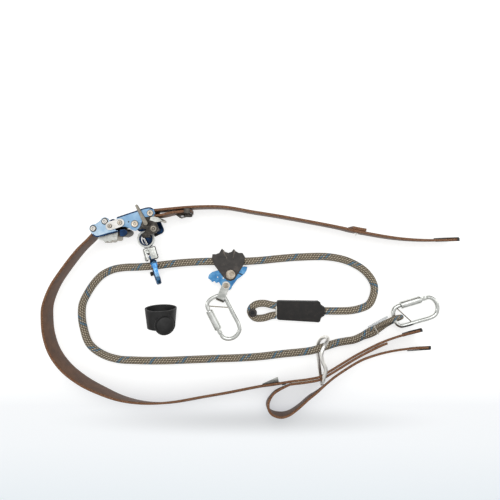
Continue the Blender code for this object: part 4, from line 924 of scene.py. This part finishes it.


# each solid that is kept in form: its finish, the finish of its sides and edges, and its edge radius in mm
# the side finish is darker, as painted shade, and also covers all that lies below DEEP
FINISHES = {
    "adjuster": {
        "rear_channel": ("sky", "navy", 0.9), "front_channel": ("cheek", "navy", 0.9),
        # pivot_plate is a dark sheet standing in for the shadowed hollow under the upper cheek: its phosphate is
        # painted shade
        "pivot_plate": ("phosphate", None, 0.8),
        "link_plate_lower": ("zinc", "lever", 0.5), "link_plate_upper": ("zinc", "lever", 0.5),
        "rear_pin_a": ("zinc", "lever", 0.4), "rear_pin_b": ("zinc", "lever", 0.4),
        "link_pin_rear": ("rivet", "phosphate", 0.4), "link_pin_front": ("rivet", "phosphate", 0.4),
        "main_pivot_pin": ("rivet", "lever", 0.5), "front_strap_pin": ("rivet", "phosphate", 0.5),
        "release_lever": ("lever", "phosphate", 0.5), "strap_cam": ("phosphate", None, 0.4),
        "cam_spring": ("zinc", None, 0), "pole_plate": ("brushed", "lever", 0.4),
        "lower_guide": ("navy", "phosphate", 1.2), "end_flange": ("brushed", "lever", 0.3),
        "shackle": ("phosphate", None, 0.8), "shackle_pin": ("lever", "phosphate", 0.8),
    },
    "snap": {
        "swivel_eye": ("polished", None, 0), "snap_yoke": ("brushed", "phosphate", 0.4),
        "yoke_pin": ("polished", None, 0.3), "snap_hook": ("hook", "navy", 1.2), "snap_gate": ("hook", "navy", 0.5),
        "gate_rivet": ("copper", None, 0.3), "thumb_lock": ("phosphate", None, 0.4),
    },
    "grab": {
        "grab_cover": ("nylon", None, 1.6), "grab_rivet": ("worn", "phosphate", 0.6),
        "grab_cam": ("deep", "navy", 0.7), "grab_link": ("brushed", "lever", 0.6),
    },
    "strap_fittings": {
        "strap_ring": ("zinc", None, 0), "keeper_frame": ("phosphate", None, 0.4),
        "keeper_knob": ("phosphate", None, 0.6), "wedge_spike": ("brushed", None, 0.5),
        "stop_spike": ("zinc", None, 0.2), "keeper_band": ("rubber", None, 0.6), "keeper_button": ("rubber", None, 0.8),
    },
}


def dress(group, scale):
    """Copies with eased edges for one group of solids."""
    for node, (finish, side, ease) in FINISHES[group].items():
        clean_copy(node, finish, ease * scale, side)


ROLL_D = 3.0
# the bent top edges of the channels, drawn as rods in the navy finish: their dark blue is painted dark reflection
ROLLS = {
    "front_rolled_edge": [(-270, 194.6), (-263, 196.9), (-238, 205.2), (-212, 213.6), (-203, 214.4), (-197, 211.6)],
    "rear_rolled_edge": [(-319.5, 161.2), (-312.5, 156.6), (-291, 161.8), (-269.5, 167.1)],
}
# flat rings on the upper cheeks, and a dark disc painted as the shade in a drilled hole: place, inner and outer radius
WASHERS = {
    "rear_washer_a": (-318.5, 172.7, 2.6, 6.9), "rear_washer_b": (-295.0, 187.3, 2.6, 6.9),
    "pivot_washer": (-234.0, 182.0, 2.9, 7.6), "drilled_hole": (-246.5, 186.2, 0.3, 1.5),
}
# dark rings on the shackle pin's disc head, painted shade at its rounded rim and in its middle: inner and outer radius
PIN_RINGS = {"pin_head_rim": (6.0, 7.3), "pin_head_groove": (1.6, 3.4)}


class RESTRICTOR_OT_adjuster(bpy.types.Operator):
    """The channel adjuster: frames, links, pins, cam, lever, toothed plate and shackle"""
    bl_idname = "restrictor.adjuster"
    bl_label = "Adjuster"

    def execute(self, context):
        dress("adjuster", context.scene.restrictor_metal.eased)
        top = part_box("front_channel")[1][2] / MM
        for name, route in ROLLS.items():
            rod(name, [(x, y, top - 0.7) for x, y in route], ROLL_D, "navy", slot="blue_anodised", sharp=70)
        for name, (x, y, inner, outer) in WASHERS.items():
            turned(name, ring(inner, outer, top + 0.02, top + 0.28), (x, y, 0), "phosphate")
        low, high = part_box("shackle_pin")
        middle, head = ((low[0] + high[0]) / 2 / MM, (low[1] + high[1]) / 2 / MM, 0), high[2] / MM
        for name, (inner, outer) in PIN_RINGS.items():
            turned(name, ring(inner, outer, head, head + 0.4), middle, "phosphate")
        return {"FINISHED"}


EYE_CROSSBAR = ((-229.5, 160.5, 15.4), (-224.5, 150.5, 15.4), (-219.5, 140.5, 15.4))
EYE_BUSH = [(12.0, -4.2), (13.1, -4.4), (13.1, 4.4), (12.0, 4.2)]
EYE_SADDLE = [(0, 6), (10.6, 6), (11, 6.4), (11, 9.6), (10.6, 10), (0, 10)]


class RESTRICTOR_OT_snap(bpy.types.Operator):
    """The swivel snap: round eye, yoke, hook, gate and thumb lock"""
    bl_idname = "restrictor.snap"
    bl_label = "Swivel snap"

    def execute(self, context):
        dress("snap", context.scene.restrictor_metal.eased)
        # blue parts inside the round eye, drawn in the navy finish: partly the eye's blue bush, darkened as painted
        # shade on its inner edge
        turned("eye_bush_ring", EYE_BUSH, (-219.7, 151.9, 22.0), "navy", "round_eye", steps=48)
        turned("eye_saddle", EYE_SADDLE, (-220.5, 150.5, 0), "navy", "side_shackle", "deep_blue_anodised")
        rod("eye_crossbar", EYE_CROSSBAR, 4.4, "zinc", "round_eye", sharp=70, sides=16)
        return {"FINISHED"}


GRAB_RIVET = (-41.0, 77.0, 0)
# radius and height over the link's top, from the middle of the rivet's foot up its head
RIVET_HEAD = ((2.4, 0), (5.6, 0.05), (6.0, 0.6), (5.2, 1.4), (2.2, 1.5), (1.8, 1.1), (0, 1.1))
RIVET_SKIRT = ((0, -1.2), (10.3, -1.2), (10.3, -0.7), (9.6, 0.1), (0, 0.3))
CAM_LOBE = ((0, -1), (9.5, -1), (9.5, 0.3), (8.8, 0.9), (0, 0.9))
CAM_MARKS = {"cam_dot": (-68.6, 71.2, 1.3), "cam_dimple": (-56.6, 69.2, 1.7)}
CAM_SLIT = ((-25.3, 79.6), (-15.8, 76.4))
LINK_CREASE = ((-70.5, 25.4), (-54.5, 18.6))
RIDGES = (
    ((-56.0, 128.5), (-54.6, 122.5), (-52.0, 116.5), (-48.5, 111.0)),
    ((-32.6, 128.0), (-33.6, 122.5), (-34.5, 116.5), (-36.5, 111.0)),
)


class RESTRICTOR_OT_grab(bpy.types.Operator):
    """The rope grab: moulded cover, cam, rivets and folded link"""
    bl_idname = "restrictor.grab"
    bl_label = "Rope grab"

    def execute(self, context):
        dress("grab", context.scene.restrictor_metal.eased)
        low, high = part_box("grab_link_rivet")
        link_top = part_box("grab_link")[1][2] / MM
        at = ((low[0] + high[0]) / 2 / MM, (low[1] + high[1]) / 2 / MM, 0)
        cam, link, rivet = BODY_OF["grab_cam"], BODY_OF["grab_link"], BODY_OF["grab_link_rivet"]
        shank = [(0, low[2] / MM), (2.4, low[2] / MM)] + [(r, link_top + h) for r, h in RIVET_HEAD]
        turned("link_rivet", shank, at, "worn", rivet, nodes=("grab_link_rivet",))
        turned("link_washer", ring(5.7, 7.1, link_top + 0.02, link_top + 0.4), at, "zinc", rivet)
        cam_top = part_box("grab_cam")[1][2] / MM
        lobe = [(r, cam_top + h) for r, h in CAM_LOBE]
        turned("cam_lobe", lobe, (-47.5, 52.5, 0), "deep", cam, "deep_blue_anodised")
        for name, (x, y, size) in CAM_MARKS.items():
            turned(name, ring(0, size, cam_top - 0.5, cam_top + 0.15), (x, y, 0), "zinc", cam)
        # a dark phosphate rod on the cam's top: painted shade of a slit
        rod("cam_slit", [(x, y, cam_top - 0.3) for x, y in CAM_SLIT], 2.4, "phosphate", cam)
        # a dark phosphate rod on the link's top: painted shade along its crease
        rod("link_crease", [(x, y, link_top - 1.0) for x, y in LINK_CREASE], 2.4, "phosphate", link)
        rivet_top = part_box("grab_rivet")[1][2] / MM
        turned("rivet_skirt", [(r, rivet_top + h) for r, h in RIVET_SKIRT], GRAB_RIVET, "worn")
        cover_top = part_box("grab_cover")[1][2] / MM
        # the ridges wear the ridge finish, a paler copy of the cover's nylon that paints a highlight on them
        for i, route in enumerate(RIDGES):
            rise = [(x, y, cover_top - 0.9 + 0.9 * k / 3) for k, (x, y) in enumerate(route)]
            rod(f"cover_ridge_{i}", rise, 2.6, "ridge", BODY_OF["grab_cover"], "black_plastic", 70, 1.5, 10)
        return {"FINISHED"}


# a carabiner lies along X from its nose, with its gate on the +Y side, or on the -Y side where its hand is -1
BAR_ROUTE = [
    (11.0, 43.2), (5, 42.9), (-2, 40), (-7.2, 32), (-8.5, 20), (-6, 8), (0, 1.6), (9, 0), (40, 0), (68, 0),
    (79, 3.6), (86, 14), (87.3, 26), (83, 36.5), (77, 41.7), (71.5, 43.2),
]
BAR_R = 4.5
GATE_Y = 43.2
GATE_R = 4.4
TONGUE = (60.7, 74, 3.2, 1.5)  # from and to, half its width and half its thickness; it clears the open gate's end
CHEEKS = (57.5, 68.6, 4.1, 1.05)  # the same for each of the gate's two cheeks beside the tongue
CHEEK_Z = 2.9
HINGE_X = 64.5
HINGE_PIN = [(0, -4.9), (1.7, -4.9), (2.3, -4.5), (2.3, 4.5), (1.7, 4.9), (0, 4.9)]
SLEEVE_R = 8.0
SLEEVE_GROOVES = (15.2, 17.0, 51.0, 52.8)
WIRE_ENDS = ((3.2, 39.5), (25.8, 2.0))
# each carabiner: the place of its nose, its turn in degrees and its hand
CARABINERS = {"a": ((-54.85, 29.55, 13.5), -63.1, -1), "b": ((321.6, -34.4, 15.4), 16.6, 1)}


class RESTRICTOR_OT_carabiners(bpy.types.Operator):
    """Both locking carabiners: bent bar with a captive wire, gate, grooved locking sleeve and hinge rivet"""
    bl_idname = "restrictor.carabiners"
    bl_label = "Carabiners"

    def execute(self, context):
        for tag, (at, turn, hand) in CARABINERS.items():
            held = seat_at(at, turn)
            axis_y = hand * GATE_Y

            def added(name, shape, finish, body, node=None, sharp=40):
                bm = bmesh.new()
                shape(bm)
                bmesh.ops.transform(bm, matrix=held, verts=bm.verts)
                nodes = (node,) if node else ()
                return piece(f"carabiner_{tag}_{name}_finished", bm, finish, body, "polished_steel", nodes, sharp)

            def on_axis(bm, profile, x=0, steps=32):
                spun(bm, profile, (x, axis_y, 0), (1, 0, 0), steps)

            def slab(bm, size, ease, z=0.0):
                start, stop, half, thin = size
                block(bm, (start, axis_y - half, z - thin), (stop, axis_y + half, z + thin), ease)

            def bent_bar(bm):
                bar_along(bm, smooth_line([(x, hand * y, 0) for x, y in BAR_ROUTE], 2.5), 2 * BAR_R)
                slab(bm, TONGUE, 0.3)

            def captive_wire(bm):
                (ax, ay), (bx, by) = WIRE_ENDS
                ends = [Vector((x, hand * y, 0)) for x, y in ((ax, ay), ((ax + bx) / 2, (ay + by) / 2), (bx, by))]
                bar_along(bm, ends, 2.4, 12)

            def latch_nose(bm):
                r = BAR_R - 0.1
                on_axis(bm, [(0, 0), (r, 0), (r, 1.0), (BAR_R - 0.5, 1.2), (0, 1.2)], 10.2, 24)

            def gate(bm):
                r = GATE_R
                on_axis(bm, [(0, 12.1), (r - 0.5, 12.1), (r, 12.6), (r, 58.6), (r - 0.4, 59), (0, 59)])
                for side in (-1, 1):
                    slab(bm, CHEEKS, 0.5, side * CHEEK_Z)

            def sleeve(bm):
                r, bore = SLEEVE_R, GATE_R + 0.15
                profile = [(bore, 12.6), (r - 1.2, 12.6), (r - 0.5, 12.9), (r - 0.1, 13.8)]
                for x in SLEEVE_GROOVES:
                    profile += [(r, x - 0.7), (r, x - 0.25), (r - 0.45, x), (r - 0.45, x + 0.3), (r, x + 0.55)]
                profile += [(r, 55.4), (r - 0.5, 56.6), (r - 1.2, 57), (bore, 57)]
                on_axis(bm, profile, steps=40)

            def rivet(bm):
                spun(bm, HINGE_PIN, (HINGE_X, axis_y, 0), steps=20)

            added("body", bent_bar, "polished", f"carabiner_{tag}", f"carabiner_{tag}_body", 50)
            added("gate", gate, "polished", f"gate_{tag}", f"carabiner_{tag}_gate")
            added("sleeve", sleeve, "satin", f"sleeve_{tag}", f"carabiner_{tag}_sleeve", 30)
            added("rivet", rivet, "brushed", f"carabiner_{tag}", f"carabiner_{tag}_rivet")
            added("captive_wire", captive_wire, "lever", f"carabiner_{tag}")
            added("latch_nose", latch_nose, "brushed", f"carabiner_{tag}")
        return {"FINISHED"}


class RESTRICTOR_OT_strap_fittings(bpy.types.Operator):
    """The bent ring, the buckle keeper, the spikes and the loose rubber keeper"""
    bl_idname = "restrictor.strap_fittings"
    bl_label = "Strap fittings"

    def execute(self, context):
        dress("strap_fittings", context.scene.restrictor_metal.eased)
        return {"FINISHED"}


class RESTRICTOR_PT_panel(bpy.types.Panel):
    """Builders of the restrictor's pieces, in their order"""
    bl_label = "Fall restrictor"
    bl_idname = "RESTRICTOR_PT_panel"
    bl_space_type = "VIEW_3D"
    bl_region_type = "UI"
    bl_category = "Restrictor"

    def draw(self, context):
        scene = context.scene
        for group in (scene.restrictor_webbing, scene.restrictor_rope, scene.restrictor_metal, scene.restrictor_stage):
            for name in group.__annotations__:
                self.layout.prop(group, name)
        for builder in BUILDERS:
            self.layout.operator(builder.bl_idname)


BUILDERS = (
    RESTRICTOR_OT_stage, RESTRICTOR_OT_webbing, RESTRICTOR_OT_rope, RESTRICTOR_OT_adjuster, RESTRICTOR_OT_snap,
    RESTRICTOR_OT_grab, RESTRICTOR_OT_carabiners, RESTRICTOR_OT_strap_fittings,
)
LOOKS = {
    "restrictor_webbing": WebbingLook, "restrictor_rope": RopeLook, "restrictor_metal": MetalLook,
    "restrictor_stage": StageLook,
}


def register():
    for look in LOOKS.values():
        bpy.utils.register_class(look)
    for name, look in LOOKS.items():
        setattr(bpy.types.Scene, name, PointerProperty(type=look))
    for builder in BUILDERS:
        bpy.utils.register_class(builder)
    bpy.utils.register_class(RESTRICTOR_PT_panel)


def unregister():
    bpy.utils.unregister_class(RESTRICTOR_PT_panel)
    for builder in reversed(BUILDERS):
        bpy.utils.unregister_class(builder)
    for name in LOOKS:
        delattr(bpy.types.Scene, name)
    for look in LOOKS.values():
        bpy.utils.unregister_class(look)


def main():
    register()
    for builder in BUILDERS:
        group, name = builder.bl_idname.split(".")
        getattr(getattr(bpy.ops, group), name)()


if __name__ == "__main__":
    main()
